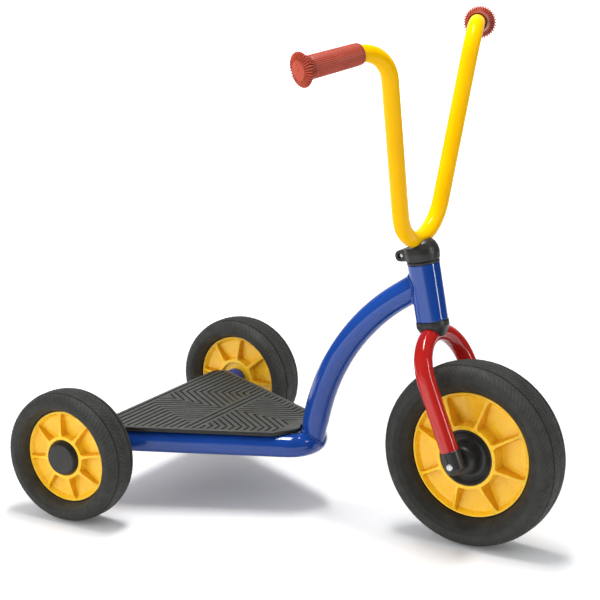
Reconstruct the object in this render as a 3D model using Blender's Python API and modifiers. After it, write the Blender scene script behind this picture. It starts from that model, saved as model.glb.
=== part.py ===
"""Three-wheel kids scooter: bent steel frame, raked steering with an arched fork, ribbed deck.

Frame of the model: +X forward, +Y to the rider's left, +Z up, metres.
The origin is on the ground, midway between the rearmost and foremost points of the tyres.
"""
import math

import bmesh
import bpy
from mathutils import Matrix, Vector

# Modelling limits
SMOOTH_ANGLE = math.radians(35)
EDGE_ANGLE = math.radians(60)
MITRE_LIMIT = 0.2
MERGE = 0.000005

# Fits
GAP = 0.0003
PIN_GAP = 0.0004
BLADE_OVER = 0.002

# Layout
WHEELBASE = 0.4698
REAR_TRACK = 0.4030
STEER_RAKE = math.radians(11.41)
FORK_OFFSET = 0.0307

# Rear wheels: offsets are measured from the wheel's mid-plane
REAR_TYRE_R = 0.0850
REAR_TYRE_HALF_W = 0.0270
REAR_SHOULDER_DROP = 0.0145
REAR_LIP_R = 0.0588
REAR_LIP_OFFSET = 0.0098
REAR_RECESS_R = 0.0231
REAR_HUB_OFFSET = 0.0167
REAR_FLOOR_OFFSET = 0.0117

# Front wheel
FRONT_TYRE_R = 0.1174
FRONT_TYRE_HALF_W = 0.0300
FRONT_SHOULDER_DROP = 0.0151
FRONT_LIP_R = 0.0799
FRONT_LIP_OFFSET = 0.0111
FRONT_RECESS_R = 0.0360
FRONT_HUB_OFFSET = 0.0240
FRONT_FLOOR_OFFSET = 0.0150

# Tyre section
TYRE_CURVE_POWER = 2.4
TYRE_CURVE_STEPS = 6
SIDEWALL_BULGE = 0.0016
BEAD_RISE = 0.0008
BEAD_STEP = 0.0015

# Rim section
RIM_CHANNEL_DEPTH = 0.0040
RIM_CHANNEL_HALF_W = 0.0050
RIM_LIP_FLANGE = 0.0014
RIM_LIP_EDGE = 0.0014
RIM_POCKET_WALL_RUN = 0.0068
RIM_WEB_HALF = 0.0020
RIM_HUB_WALL = 0.0047
RIM_HUB_DRAFT = 0.0016
RIB_COUNT = 8
RIB_THICK = 0.0046
RIB_SET_BACK = 0.0003
RIB_SINK = 0.0007

# How far each rim's first rib stands up from straight ahead
FRONT_RIB_RISE = math.radians(29.0)
REAR_LEFT_RIB_RISE = math.radians(-2.5)
REAR_RIGHT_RIB_RISE = math.radians(11.0)

# Hub bushes and their bore
HUB_BORE_R = 0.0095
BUSH_FLANGE_R = 0.0120
BUSH_FLANGE_T = 0.0012
REAR_BUSH_LENGTH = 0.0085
FRONT_BUSH_LENGTH = 0.0115

# Rear axle line
REAR_AXLE_R = 0.0050
REAR_AXLE_END_OFFSET = 0.0160
PLUG_FLANGE_R = 0.0145
PLUG_FLANGE_T = 0.0015
PLUG_SPIGOT_LENGTH = 0.0150
PUSH_NUT_R = 0.0085
PUSH_NUT_T = 0.0015
CROSS_TUBE_WALL = 0.0025

# Rear hub cap
CAP_FACE_OFFSET = 0.0235
CAP_FACE_R = 0.0185
CAP_SHOULDER_R = 0.0204
CAP_SHOULDER_DROP = 0.0014
CAP_WALL = 0.0022

# Front hub cover
COVER_RIM_DROP = 0.0010
COVER_FILLET = 0.0040
COVER_VALLEY_R = 0.0250
COVER_VALLEY_OFFSET = 0.0182
COVER_BOSS_R = 0.0195
COVER_BOSS_TOP_R = 0.0182
COVER_BOSS_SHOULDER_DROP = 0.0055
COVER_FORK_CLEARANCE = 0.0026
COVER_FACE_R = 0.0110
COVER_WALL = 0.0026
COVER_BORE_R = 0.0066

# Front axle line
FRONT_AXLE_R = 0.0040
FRONT_AXLE_PROUD = 0.0006
SPACER_R = 0.0060

# Frame tubes
FRAME_TUBE_R = 0.0150
DECK_TUBE_ABOVE_AXLE = 0.0034
DECK_LEG_SPREAD = 0.1374
DECK_LEG_ANGLE = math.radians(25.9)
DECK_BEND_R = 0.0360
DECK_LEG_END = 0.0080
MAIN_TUBE_R = 0.0170
MAIN_FOOT_AHEAD = 0.0002
MAIN_LEAN = math.radians(9.1)
MAIN_BEND_R = 0.2850
MAIN_HEAD_RUN = 0.0452
MAIN_JOIN_ABOVE_HUB = 0.2202

# Deck
DECK_T = 0.0059
DECK_REAR_OVERHANG = 0.0050
DECK_REAR_HALF_W = 0.1520
DECK_SIDE_SLOPE = 0.4866
DECK_CORNER_R = 0.0150
DECK_SIDE_LENGTH = 0.2075
DECK_NOSE_LENGTH = 0.2260
DECK_NOSE_HALF_W = 0.0200
DECK_NOTCH_CLEARANCE = 0.0015
DECK_EDGE_BEVEL = 0.0010

# Deck grooves
GROOVE_PITCH = 0.00843
GROOVE_FIRST = 0.0017
GROOVE_W = 0.0024
GROOVE_DEPTH = 0.0014
GROOVE_ROWS = 26
GROOVE_MARGIN = 0.0062
GROOVE_BEND_START = 0.0310
GROOVE_DIAGONAL = math.radians(36.0)
GROOVE_BAND_MARGIN = 0.0065
GROOVE_END_MARGIN = 0.0050

# Deck bearers and their screws
BEARER_W = 0.0250
BEARER_T = 0.0040
BEARER_REAR_AHEAD = 0.0450
BEARER_FRONT_AHEAD = 0.1550
SCREW_R = 0.0019
SCREW_HEAD_R = 0.0040
SCREW_HEAD_T = 0.0025
SCREW_HEAD_EDGE = 0.0008
SCREW_BITE = 0.0034
SCREW_INSET = 0.0320

# Head tube and bushes: heights are measured along the steering axis from the hub's level
HEAD_TUBE_R = 0.0202
HEAD_TUBE_BORE_R = 0.0172
HEAD_TUBE_BOTTOM = 0.1709
HEAD_TUBE_LENGTH = 0.0714
HEAD_FLANGE_OVER = 0.0003
HEAD_FLANGE_T = 0.0036
HEAD_BUSH_DEPTH = 0.0150

# Steerer
STEERER_R = 0.0125
STEERER_WALL = 0.0022
STEERER_TOP_IN_CLAMP = 0.0145
STEERER_OVER_CROWN = 0.0023

# Fork
FORK_TUBE_R = 0.0116
FORK_HALF_SPACING = 0.0540
FORK_CROWN_DROP = 0.0169
FORK_LEG_END = 0.0178
FORK_BORE_R = 0.0095
FORK_BORE_DEPTH = 0.0250
FORK_END_R = 0.0127
FORK_END_SPIGOT = 0.0220
FORK_END_BELOW = 0.0125
FORK_END_FLAT = 0.0008
FORK_END_COLLAR = 0.0022
FORK_END_ROUND = 0.0076
FORK_END_NOSE = ((1.0, 1.0), (0.93, 0.5), (0.72, 0.15), (0.40, 0.0))

# Fork collar
COLLAR_R = 0.0208
COLLAR_NECK_R = 0.0203
COLLAR_FOOT_R = 0.0150
COLLAR_LENGTH = 0.0200
COLLAR_SHOULDER_DROP = 0.0030
COLLAR_BELT_DROP = 0.0072
COLLAR_TAPER_DROP = 0.0133
COLLAR_EDGE = 0.0012

# Stem clamp
CLAMP_BASE_R = 0.0215
CLAMP_BELLY_R = 0.0223
CLAMP_HORN_R = 0.0185
CLAMP_HEIGHT = 0.0262
CLAMP_REAR_HEIGHT = 0.0175
CLAMP_EDGE = 0.0010
CLAMP_HORN_EDGE = 0.0018
CLAMP_WAIST_DROP = 0.0080
CLAMP_WAIST_FLARE = 0.0008
CLAMP_BELLY_H = 0.0095
CLAMP_EAR_R = 0.0073
CLAMP_EAR_HALF_W = 0.0080
CLAMP_EAR_BACK = 0.0272
CLAMP_EAR_HEIGHT = 0.0078
CLAMP_SLOT = 0.0030
CLAMP_BOLT_R = 0.0028
CLAMP_BOLT_HEAD_R = 0.0048
CLAMP_BOLT_HEAD_T = 0.0040
CLAMP_BOLT_RECESS = 0.0016

# Handlebar
BAR_R = 0.0105
BAR_CRADLE = 0.0270
BAR_CENTRE_BACK = 0.0016
BAR_FORWARD_SLOPE = 0.252
BAR_OUTWARD_SLOPE = 0.291
BAR_U_R = 0.0544
BAR_CORNER_RISE = 0.2459
BAR_CORNER_R = 0.0480
GRIP_BACK_SWEEP = math.radians(25.2)
GRIP_DROP = math.radians(3.3)
STEM_R = 0.0100
STEM_LENGTH = 0.0760

# Grips: stations are measured from the bar's tip
GRIP_LENGTH = 0.0815
GRIP_OVER_BEND = 0.0038
GRIP_BAR_CLEARANCE = 0.0006
GRIP_MOUTH_FLARE = 0.0005
GRIP_MOUTH_DEPTH = 0.0045
GRIP_WALL = 0.0019
GRIP_TAPER = 0.0008
GRIP_END_ROUND = 0.0010
GRIP_END_WALL = 0.0048
GRIP_FACE_R = 0.0122
GRIP_CROWN_R = 0.0192
GRIP_CROWN_CONE = 0.0037
GRIP_CROWN_T = 0.0014
GRIP_CROWN_BACK = 0.0040
GRIP_TOOTH_COUNT = 36
GRIP_TOOTH_ROOT = 0.0006
GRIP_TOOTH_LIFT = 0.0009
GRIP_TOOTH_H = 0.0020
GRIP_TOOTH_W = 0.0016

# Facets
REAR_WHEEL_SEGMENTS = 24
FRONT_WHEEL_SEGMENTS = 32
ROUND_SEGMENTS = 20
SMALL_SEGMENTS = 10
COPE_SEGMENTS = 24
NOTCH_SEGMENTS = 36
EAR_SEGMENTS = 12
PLUG_SEGMENTS = 14
GRIP_SEGMENTS = 18
TUBE_BEVEL_RESOLUTION = 5
FORK_BEVEL_RESOLUTION = 5
BAR_BEVEL_RESOLUTION = 4
BEND_STEPS = 8
CORNER_STEPS = 5
ARCH_STEPS = 15
BAR_BEND_STEPS = 9
MAIN_BEND_STEPS = 11
FORK_END_SEGMENTS = 16
SCREW_SEGMENTS = 8

# Positions that follow from the sizes above
REAR_X = -(WHEELBASE + FRONT_TYRE_R - REAR_TYRE_R) / 2
FRONT_X = REAR_X + WHEELBASE
REAR_MID_Y = REAR_TRACK / 2
DECK_TUBE_Z = REAR_TYRE_R + DECK_TUBE_ABOVE_AXLE
DECK_UNDERSIDE_Z = DECK_TUBE_Z + FRAME_TUBE_R + GAP
FORK_END_FACE = FORK_HALF_SPACING - FORK_END_R + FORK_END_FLAT
COVER_FACE_OFFSET = FORK_END_FACE - COVER_FORK_CLEARANCE
COVER_BOSS_SHOULDER_OFFSET = COVER_FACE_OFFSET - COVER_BOSS_SHOULDER_DROP
HEAD_TUBE_TOP = HEAD_TUBE_BOTTOM + HEAD_TUBE_LENGTH
CROWN_H = HEAD_TUBE_BOTTOM - FORK_CROWN_DROP
COLLAR_TOP = HEAD_TUBE_BOTTOM - PIN_GAP
CLAMP_BASE = HEAD_TUBE_TOP + HEAD_FLANGE_T + 2 * GAP
BAR_CENTRE_H = CLAMP_BASE + BAR_CRADLE
STEERER_FOOT = CROWN_H + FORK_TUBE_R - STEERER_OVER_CROWN
GRIP_BORE_R = BAR_R + GRIP_BAR_CLEARANCE
GRIP_INNER_R = GRIP_BORE_R + GRIP_WALL
GRIP_OUTER_R = GRIP_INNER_R + GRIP_TAPER
DECK_TOP_Z = DECK_UNDERSIDE_Z + DECK_T


# Scene helpers

def clear_scene():
    for obj in list(bpy.data.objects):
        bpy.data.objects.remove(obj, do_unlink=True)
    for block in list(bpy.data.collections):
        bpy.data.collections.remove(block)


def make_collection(name):
    block = bpy.data.collections.new(name)
    bpy.context.scene.collection.children.link(block)
    return block


def make_material(name, colour, roughness, metallic=0.0):
    mat = bpy.data.materials.new(name)
    mat.use_nodes = True
    shader = mat.node_tree.nodes["Principled BSDF"]
    shader.inputs["Base Color"].default_value = (*colour, 1.0)
    shader.inputs["Roughness"].default_value = roughness
    shader.inputs["Metallic"].default_value = metallic
    mat.diffuse_color = (*colour, 1.0)
    return mat


def add_empty(name, location=(0, 0, 0), rotation=(0, 0, 0), parent=None):
    obj = bpy.data.objects.new(name, None)
    obj.empty_display_size = 0.03
    obj.location = location
    obj.rotation_euler = rotation
    obj.parent = parent
    PARTS.objects.link(obj)
    return obj


def add_object(name, data, mat=None, parent=None, matrix=None):
    """Link an object to the parts, or to the cutters when it has no material."""
    obj = bpy.data.objects.new(name, data)
    obj.parent = parent
    if matrix is not None:
        obj.matrix_local = matrix
    if mat is None:
        CUTTERS.objects.link(obj)
        obj.hide_render = True
        obj.display_type = "WIRE"
    else:
        data.materials.clear()
        data.materials.append(mat)
        PARTS.objects.link(obj)
        if isinstance(data, bpy.types.Mesh):
            data.shade_smooth()
            data.set_sharp_from_angle(angle=SMOOTH_ANGLE)
    return obj


def boolean(obj, tool, operation="DIFFERENCE"):
    mod = obj.modifiers.new(operation.title(), "BOOLEAN")
    mod.operation = operation
    mod.solver = "EXACT"
    mod.object = tool
    return mod


def turned_mesh(name, profile, segments, closed=False):
    """Turn a profile of (radius, height) round Z.

    A closed profile is a ring's section; an open one starts and ends on the axis.
    """
    area = 0.0
    for (r0, h0), (r1, h1) in zip(profile, profile[1:] + profile[:1]):
        area += r0 * h1 - r1 * h0
    points = profile if area < 0 else profile[::-1]
    mesh = bpy.data.meshes.new(name + "_profile")
    edges = [(i, i + 1) for i in range(len(points) - 1)]
    if closed:
        edges.append((len(points) - 1, 0))
    mesh.from_pydata([(r, 0.0, h) for r, h in points], edges, [])
    obj = bpy.data.objects.new(name + "_profile", mesh)
    CUTTERS.objects.link(obj)
    screw = obj.modifiers.new("Screw", "SCREW")
    screw.axis = "Z"
    screw.angle = 2 * math.pi
    screw.steps = segments
    screw.render_steps = segments
    screw.use_merge_vertices = True
    screw.merge_threshold = MERGE
    return baked(obj, name)


def baked(obj, name):
    """The evaluated mesh of a helper object, which is then removed."""
    graph = bpy.context.evaluated_depsgraph_get()
    graph.update()
    mesh = bpy.data.meshes.new_from_object(obj.evaluated_get(graph))
    mesh.name = name
    old = obj.data
    bpy.data.objects.remove(obj, do_unlink=True)
    if isinstance(old, bpy.types.Mesh):
        bpy.data.meshes.remove(old)
    else:
        bpy.data.curves.remove(old)
    work = bmesh.new()
    work.from_mesh(mesh)
    bmesh.ops.remove_doubles(work, verts=work.verts, dist=MERGE)
    bmesh.ops.recalc_face_normals(work, faces=work.faces)
    work.to_mesh(mesh)
    work.free()
    return mesh


def tube_curve(name, points, radius, resolution):
    """A round bar along a path, with filled ends."""
    curve = bpy.data.curves.new(name, "CURVE")
    curve.dimensions = "3D"
    curve.bevel_depth = radius
    curve.bevel_resolution = resolution
    curve.use_fill_caps = True
    spline = curve.splines.new("POLY")
    spline.points.add(len(points) - 1)
    for point, co in zip(spline.points, points):
        point.co = (*co, 1.0)
    return curve


def tube_mesh(name, points, radius, resolution):
    obj = bpy.data.objects.new(name + "_path", tube_curve(name, points, radius, resolution))
    CUTTERS.objects.link(obj)
    return baked(obj, name)


def plate_mesh(name, outline, thickness):
    """A flat outline in XY, filled and extruded to a thickness centred on Z = 0."""
    curve = bpy.data.curves.new(name, "CURVE")
    curve.dimensions = "2D"
    curve.fill_mode = "BOTH"
    curve.extrude = thickness / 2
    spline = curve.splines.new("POLY")
    spline.points.add(len(outline) - 1)
    for point, co in zip(spline.points, outline):
        point.co = (co[0], co[1], 0.0, 1.0)
    spline.use_cyclic_u = True
    obj = bpy.data.objects.new(name + "_outline", curve)
    CUTTERS.objects.link(obj)
    return baked(obj, name)


def joined_mesh(name, pieces):
    """One mesh that holds several separate pieces."""
    work = bmesh.new()
    for piece in pieces:
        work.from_mesh(piece)
        bpy.data.meshes.remove(piece)
    mesh = bpy.data.meshes.new(name)
    work.to_mesh(mesh)
    work.free()
    return mesh


def ring_of(mesh, count, start=0.0):
    """The mesh repeated round Z."""
    pieces = []
    for k in range(count):
        piece = mesh.copy()
        piece.transform(Matrix.Rotation(start + 2 * math.pi * k / count, 4, "Z"))
        pieces.append(piece)
    name = mesh.name
    bpy.data.meshes.remove(mesh)
    return joined_mesh(name, pieces)


def box_mesh(name, size, centre=(0, 0, 0)):
    mesh = bpy.data.meshes.new(name)
    work = bmesh.new()
    place = Matrix.Translation(centre) @ Matrix.Diagonal((*size, 1.0))
    bmesh.ops.create_cube(work, size=1.0, matrix=place)
    work.to_mesh(mesh)
    work.free()
    return mesh


def rod_mesh(name, radius, low, high, segments):
    return turned_mesh(name, [(0, high), (radius, high), (radius, low), (0, low)], segments)


def ring_mesh(name, outer, bore, low, high, segments):
    profile = [(bore, high), (outer, high), (outer, low), (bore, low)]
    return turned_mesh(name, profile, segments, closed=True)


def fillet_path(corners, radii, steps):
    """A polyline whose inner corners are rounded to the given radii."""
    path = [Vector(corners[0])]
    for i, radius in enumerate(radii, start=1):
        corner = Vector(corners[i])
        back = (Vector(corners[i - 1]) - corner).normalized()
        ahead = (Vector(corners[i + 1]) - corner).normalized()
        half = back.angle(ahead) / 2
        centre = corner + (back + ahead).normalized() * (radius / math.sin(half))
        start = corner + back * (radius / math.tan(half)) - centre
        end = corner + ahead * (radius / math.tan(half)) - centre
        sweep = start.angle(end)
        for k in range(steps + 1):
            share = k / steps
            a = math.sin((1 - share) * sweep) / math.sin(sweep)
            b = math.sin(share * sweep) / math.sin(sweep)
            path.append(centre + start * a + end * b)
    path.append(Vector(corners[-1]))
    return path


def strip_outline(path, width):
    """The outline of a band that follows a flat polyline, with mitred corners."""
    left, right = [], []
    for i, point in enumerate(path):
        before = path[max(i - 1, 0)]
        after = path[min(i + 1, len(path) - 1)]
        d0 = (point - before).normalized() if i > 0 else (after - point).normalized()
        d1 = (after - point).normalized() if i < len(path) - 1 else d0
        normal = Vector((-(d0 + d1).y, (d0 + d1).x)).normalized()
        reach = width / 2 / max(normal.dot(Vector((-d0.y, d0.x))), MITRE_LIMIT)
        left.append(point + normal * reach)
        right.append(point - normal * reach)
    return left + right[::-1]


def along_y(sign=1, offset=0.0):
    """Turns local Z to +Y or -Y, with the origin moved along it."""
    return Matrix.Translation((0, sign * offset, 0)) @ Matrix.Rotation(-sign * math.pi / 2, 4, "X")


# Wheels

def tyre_profile(radius, half_w, drop, lip_r, lip_offset):
    """Rounded tread, bulging sidewalls, and a root that keys into the rim's channel."""
    shoulder_r = radius - drop
    bead = (lip_r + GAP + BEAD_RISE, lip_offset + BEAD_STEP)
    side = []
    for k in range(TYRE_CURVE_STEPS + 1):
        angle = math.pi * k / TYRE_CURVE_STEPS
        t = half_w * math.cos(angle)
        share = min(abs(t / half_w), 1.0) ** TYRE_CURVE_POWER
        side.append((radius - drop * (1 - (1 - share) ** (1 / TYRE_CURVE_POWER)), t))
    middle = ((shoulder_r + bead[0]) / 2 - SIDEWALL_BULGE / 2, (half_w + bead[1]) / 2 + SIDEWALL_BULGE)
    upper = [(lip_r + GAP, lip_offset - RIM_LIP_FLANGE - GAP / 2), (lip_r + GAP, bead[1]), bead, middle]
    root_r = lip_r - RIM_CHANNEL_DEPTH + GAP
    root_t = RIM_CHANNEL_HALF_W - GAP / 2
    lower = [(r, -t) for r, t in reversed(upper)]
    return [(root_r, root_t)] + upper + side + lower + [(root_r, -root_t)]


def rim_profile(lip_r, lip_offset, recess_r, hub_offset, floor_offset):
    """Bore, recessed hub ring, thin web with a pocket each side, thin lip, tyre channel."""
    hub_r = recess_r + RIM_HUB_WALL
    pocket_r = lip_r - RIM_LIP_EDGE
    upper = [
        (HUB_BORE_R, floor_offset),
        (recess_r, floor_offset),
        (recess_r, hub_offset),
        (hub_r, hub_offset),
        (hub_r + RIM_HUB_DRAFT, RIM_WEB_HALF),
        (pocket_r - RIM_POCKET_WALL_RUN, RIM_WEB_HALF),
        (pocket_r, lip_offset),
        (lip_r, lip_offset),
        (lip_r, lip_offset - RIM_LIP_FLANGE),
        (lip_r - RIM_CHANNEL_DEPTH, RIM_CHANNEL_HALF_W),
    ]
    return upper + [(r, -t) for r, t in reversed(upper)]


def rib_mesh(name, lip_r, lip_offset, recess_r, hub_offset, first_rise):
    """Radial ribs that fall from the hub ring to the lip, on both faces of the web."""
    inner = recess_r + RIM_HUB_WALL / 2
    pocket_r = lip_r - RIM_LIP_EDGE
    top = (inner, hub_offset - RIB_SET_BACK)
    end = (pocket_r + RIB_SINK, lip_offset - RIB_SET_BACK)
    foot = (pocket_r - RIM_POCKET_WALL_RUN + RIB_SINK, RIM_WEB_HALF)
    upper = [top, end, foot]
    outline = upper + [(r, -t) for r, t in reversed(upper)]
    mesh = plate_mesh(name, outline, RIB_THICK)
    mesh.transform(Matrix.Rotation(math.pi / 2, 4, "X"))
    return ring_of(mesh, RIB_COUNT, -first_rise)


def build_rim(name, lip_r, lip_offset, recess_r, hub_offset, floor_offset, segments, first_rise, parent):
    profile = rim_profile(lip_r, lip_offset, recess_r, hub_offset, floor_offset)
    rim = add_object(name, turned_mesh(name, profile, segments, closed=True), RIM_YELLOW, parent, along_y())
    ribs = rib_mesh(name + "_ribs", lip_r, lip_offset, recess_r, hub_offset, first_rise)
    boolean(rim, add_object(name + "_ribs", ribs, None, parent, along_y()), "UNION")
    return rim


def bush_profile(floor_offset, length, axle_r):
    """Plain bush: a spigot in the hub's bore and a flange on the recess floor."""
    spigot_r = HUB_BORE_R - GAP
    bore = axle_r + PIN_GAP
    seat = floor_offset + GAP
    face = seat + BUSH_FLANGE_T
    return [(bore, face), (BUSH_FLANGE_R, face), (BUSH_FLANGE_R, seat), (spigot_r, seat),
            (spigot_r, seat - length), (bore, seat - length)]


def build_rear_wheel(side, sign):
    axle = add_empty("rear_axle_" + side, (REAR_X, sign * REAR_MID_Y, REAR_TYRE_R))
    name = "rear_tyre_" + side
    profile = tyre_profile(REAR_TYRE_R, REAR_TYRE_HALF_W, REAR_SHOULDER_DROP, REAR_LIP_R, REAR_LIP_OFFSET)
    add_object(name, turned_mesh(name, profile, REAR_WHEEL_SEGMENTS, closed=True), RUBBER, axle, along_y())
    first_rise = REAR_LEFT_RIB_RISE if sign > 0 else REAR_RIGHT_RIB_RISE
    build_rim("rear_rim_" + side, REAR_LIP_R, REAR_LIP_OFFSET, REAR_RECESS_R, REAR_HUB_OFFSET,
              REAR_FLOOR_OFFSET, REAR_WHEEL_SEGMENTS, first_rise, axle)
    bush = turned_mesh("rear_bush", bush_profile(REAR_FLOOR_OFFSET, REAR_BUSH_LENGTH, REAR_AXLE_R),
                       SMALL_SEGMENTS, closed=True)
    add_object("rear_bush_outer_" + side, bush, NYLON, axle, along_y(sign))
    add_object("rear_bush_inner_" + side, bush.copy(), NYLON, axle, along_y(-sign))
    skirt_r = REAR_RECESS_R - GAP
    foot = REAR_FLOOR_OFFSET + GAP
    cap = [
        (0, CAP_FACE_OFFSET),
        (CAP_FACE_R, CAP_FACE_OFFSET),
        (CAP_SHOULDER_R, CAP_FACE_OFFSET - CAP_SHOULDER_DROP),
        (skirt_r, REAR_HUB_OFFSET),
        (skirt_r, foot),
        (skirt_r - CAP_WALL, foot),
        (CAP_SHOULDER_R - CAP_WALL, CAP_FACE_OFFSET - CAP_SHOULDER_DROP - CAP_WALL / 2),
        (0, CAP_FACE_OFFSET - CAP_WALL),
    ]
    add_object("rear_hub_cap_" + side, turned_mesh("rear_hub_cap", cap, ROUND_SEGMENTS), BLACK_PLASTIC,
               axle, along_y(sign))


def build_front_wheel(hub):
    profile = tyre_profile(FRONT_TYRE_R, FRONT_TYRE_HALF_W, FRONT_SHOULDER_DROP, FRONT_LIP_R,
                           FRONT_LIP_OFFSET)
    add_object("front_tyre", turned_mesh("front_tyre", profile, FRONT_WHEEL_SEGMENTS, closed=True), RUBBER,
               hub, along_y())
    build_rim("front_rim", FRONT_LIP_R, FRONT_LIP_OFFSET, FRONT_RECESS_R, FRONT_HUB_OFFSET,
              FRONT_FLOOR_OFFSET, FRONT_WHEEL_SEGMENTS, FRONT_RIB_RISE, hub)
    bush = bush_profile(FRONT_FLOOR_OFFSET, FRONT_BUSH_LENGTH, FRONT_AXLE_R)
    edge_r = FRONT_RECESS_R - GAP
    foot = FRONT_FLOOR_OFFSET + GAP
    boss_span = COVER_BOSS_SHOULDER_DROP
    hollow_r = COVER_BOSS_TOP_R - COVER_WALL
    cover = [
        (edge_r, foot),
        (edge_r, FRONT_HUB_OFFSET - COVER_RIM_DROP / 2),
        (edge_r - 2 * COVER_RIM_DROP, FRONT_HUB_OFFSET - COVER_RIM_DROP),
        ((edge_r + COVER_VALLEY_R) / 2, (FRONT_HUB_OFFSET + COVER_VALLEY_OFFSET) / 2 - COVER_RIM_DROP),
        (COVER_VALLEY_R, COVER_VALLEY_OFFSET),
        ((COVER_VALLEY_R + COVER_BOSS_R) / 2 - COVER_FILLET / 8, COVER_VALLEY_OFFSET + COVER_FILLET / 4),
        (COVER_BOSS_R, COVER_VALLEY_OFFSET + COVER_FILLET),
        (COVER_BOSS_TOP_R, COVER_BOSS_SHOULDER_OFFSET),
        (COVER_BOSS_TOP_R - boss_span / 4, COVER_BOSS_SHOULDER_OFFSET + boss_span / 2),
        (COVER_BOSS_TOP_R - boss_span * 3 / 4, COVER_FACE_OFFSET - boss_span / 8),
        (COVER_FACE_R, COVER_FACE_OFFSET),
        (COVER_BORE_R, COVER_FACE_OFFSET),
        (COVER_BORE_R, COVER_FACE_OFFSET - COVER_WALL),
        (COVER_FACE_R, COVER_FACE_OFFSET - COVER_WALL),
        (hollow_r, COVER_BOSS_SHOULDER_OFFSET),
        (hollow_r, foot),
    ]
    for side, sign in SIDES:
        bush_name = "front_bush_" + side
        add_object(bush_name, turned_mesh(bush_name, bush, SMALL_SEGMENTS, closed=True), NYLON, hub,
                   along_y(sign))
        cover_name = "front_hub_cover_" + side
        add_object(cover_name, turned_mesh(cover_name, cover, ROUND_SEGMENTS, closed=True), BLACK_PLASTIC,
                   hub, along_y(sign))


# Frame

def deck_frame_path():
    apex_x = REAR_X + DECK_LEG_SPREAD / math.tan(DECK_LEG_ANGLE)
    end_y = DECK_LEG_SPREAD - DECK_LEG_END * math.tan(DECK_LEG_ANGLE)
    corners = [(REAR_X + DECK_LEG_END, -end_y, DECK_TUBE_Z), (apex_x, 0, DECK_TUBE_Z),
               (REAR_X + DECK_LEG_END, end_y, DECK_TUBE_Z)]
    return fillet_path(corners, [DECK_BEND_R], BEND_STEPS)


def deck_front_x():
    """Foremost point of the deck frame's centreline, at its front bend."""
    apex_x = REAR_X + DECK_LEG_SPREAD / math.tan(DECK_LEG_ANGLE)
    return apex_x - DECK_BEND_R * (1 / math.sin(DECK_LEG_ANGLE) - 1)


def leg_y(x):
    """Half spread of the deck frame's legs at a station."""
    return DECK_LEG_SPREAD - (x - REAR_X) * math.tan(DECK_LEG_ANGLE)


def steer_point(b, w, s):
    """World position of a point given ahead of, beside and along the steering axis."""
    return STEER.matrix_world @ Vector((b, w, s))


def main_tube_path():
    """Leans up from the deck frame, then bends as far as it must to run straight into the head tube."""
    foot = Vector((deck_front_x() + MAIN_FOOT_AHEAD, 0, DECK_TUBE_Z))
    head = steer_point(0, 0, MAIN_JOIN_ABOVE_HUB)
    up = Vector((math.sin(MAIN_LEAN), 0, math.cos(MAIN_LEAN)))
    ahead = Vector((math.cos(MAIN_LEAN), 0, -math.sin(MAIN_LEAN)))
    offset = (head - foot).dot(ahead)
    turn = (math.acos((MAIN_BEND_R - offset) / math.hypot(MAIN_BEND_R, MAIN_HEAD_RUN))
            - math.atan2(MAIN_HEAD_RUN, MAIN_BEND_R))
    out = up * math.cos(turn) + ahead * math.sin(turn)
    corner = head - out * (MAIN_HEAD_RUN + MAIN_BEND_R * math.tan(turn / 2))
    return fillet_path([foot, corner, head], [MAIN_BEND_R], MAIN_BEND_STEPS)


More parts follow.
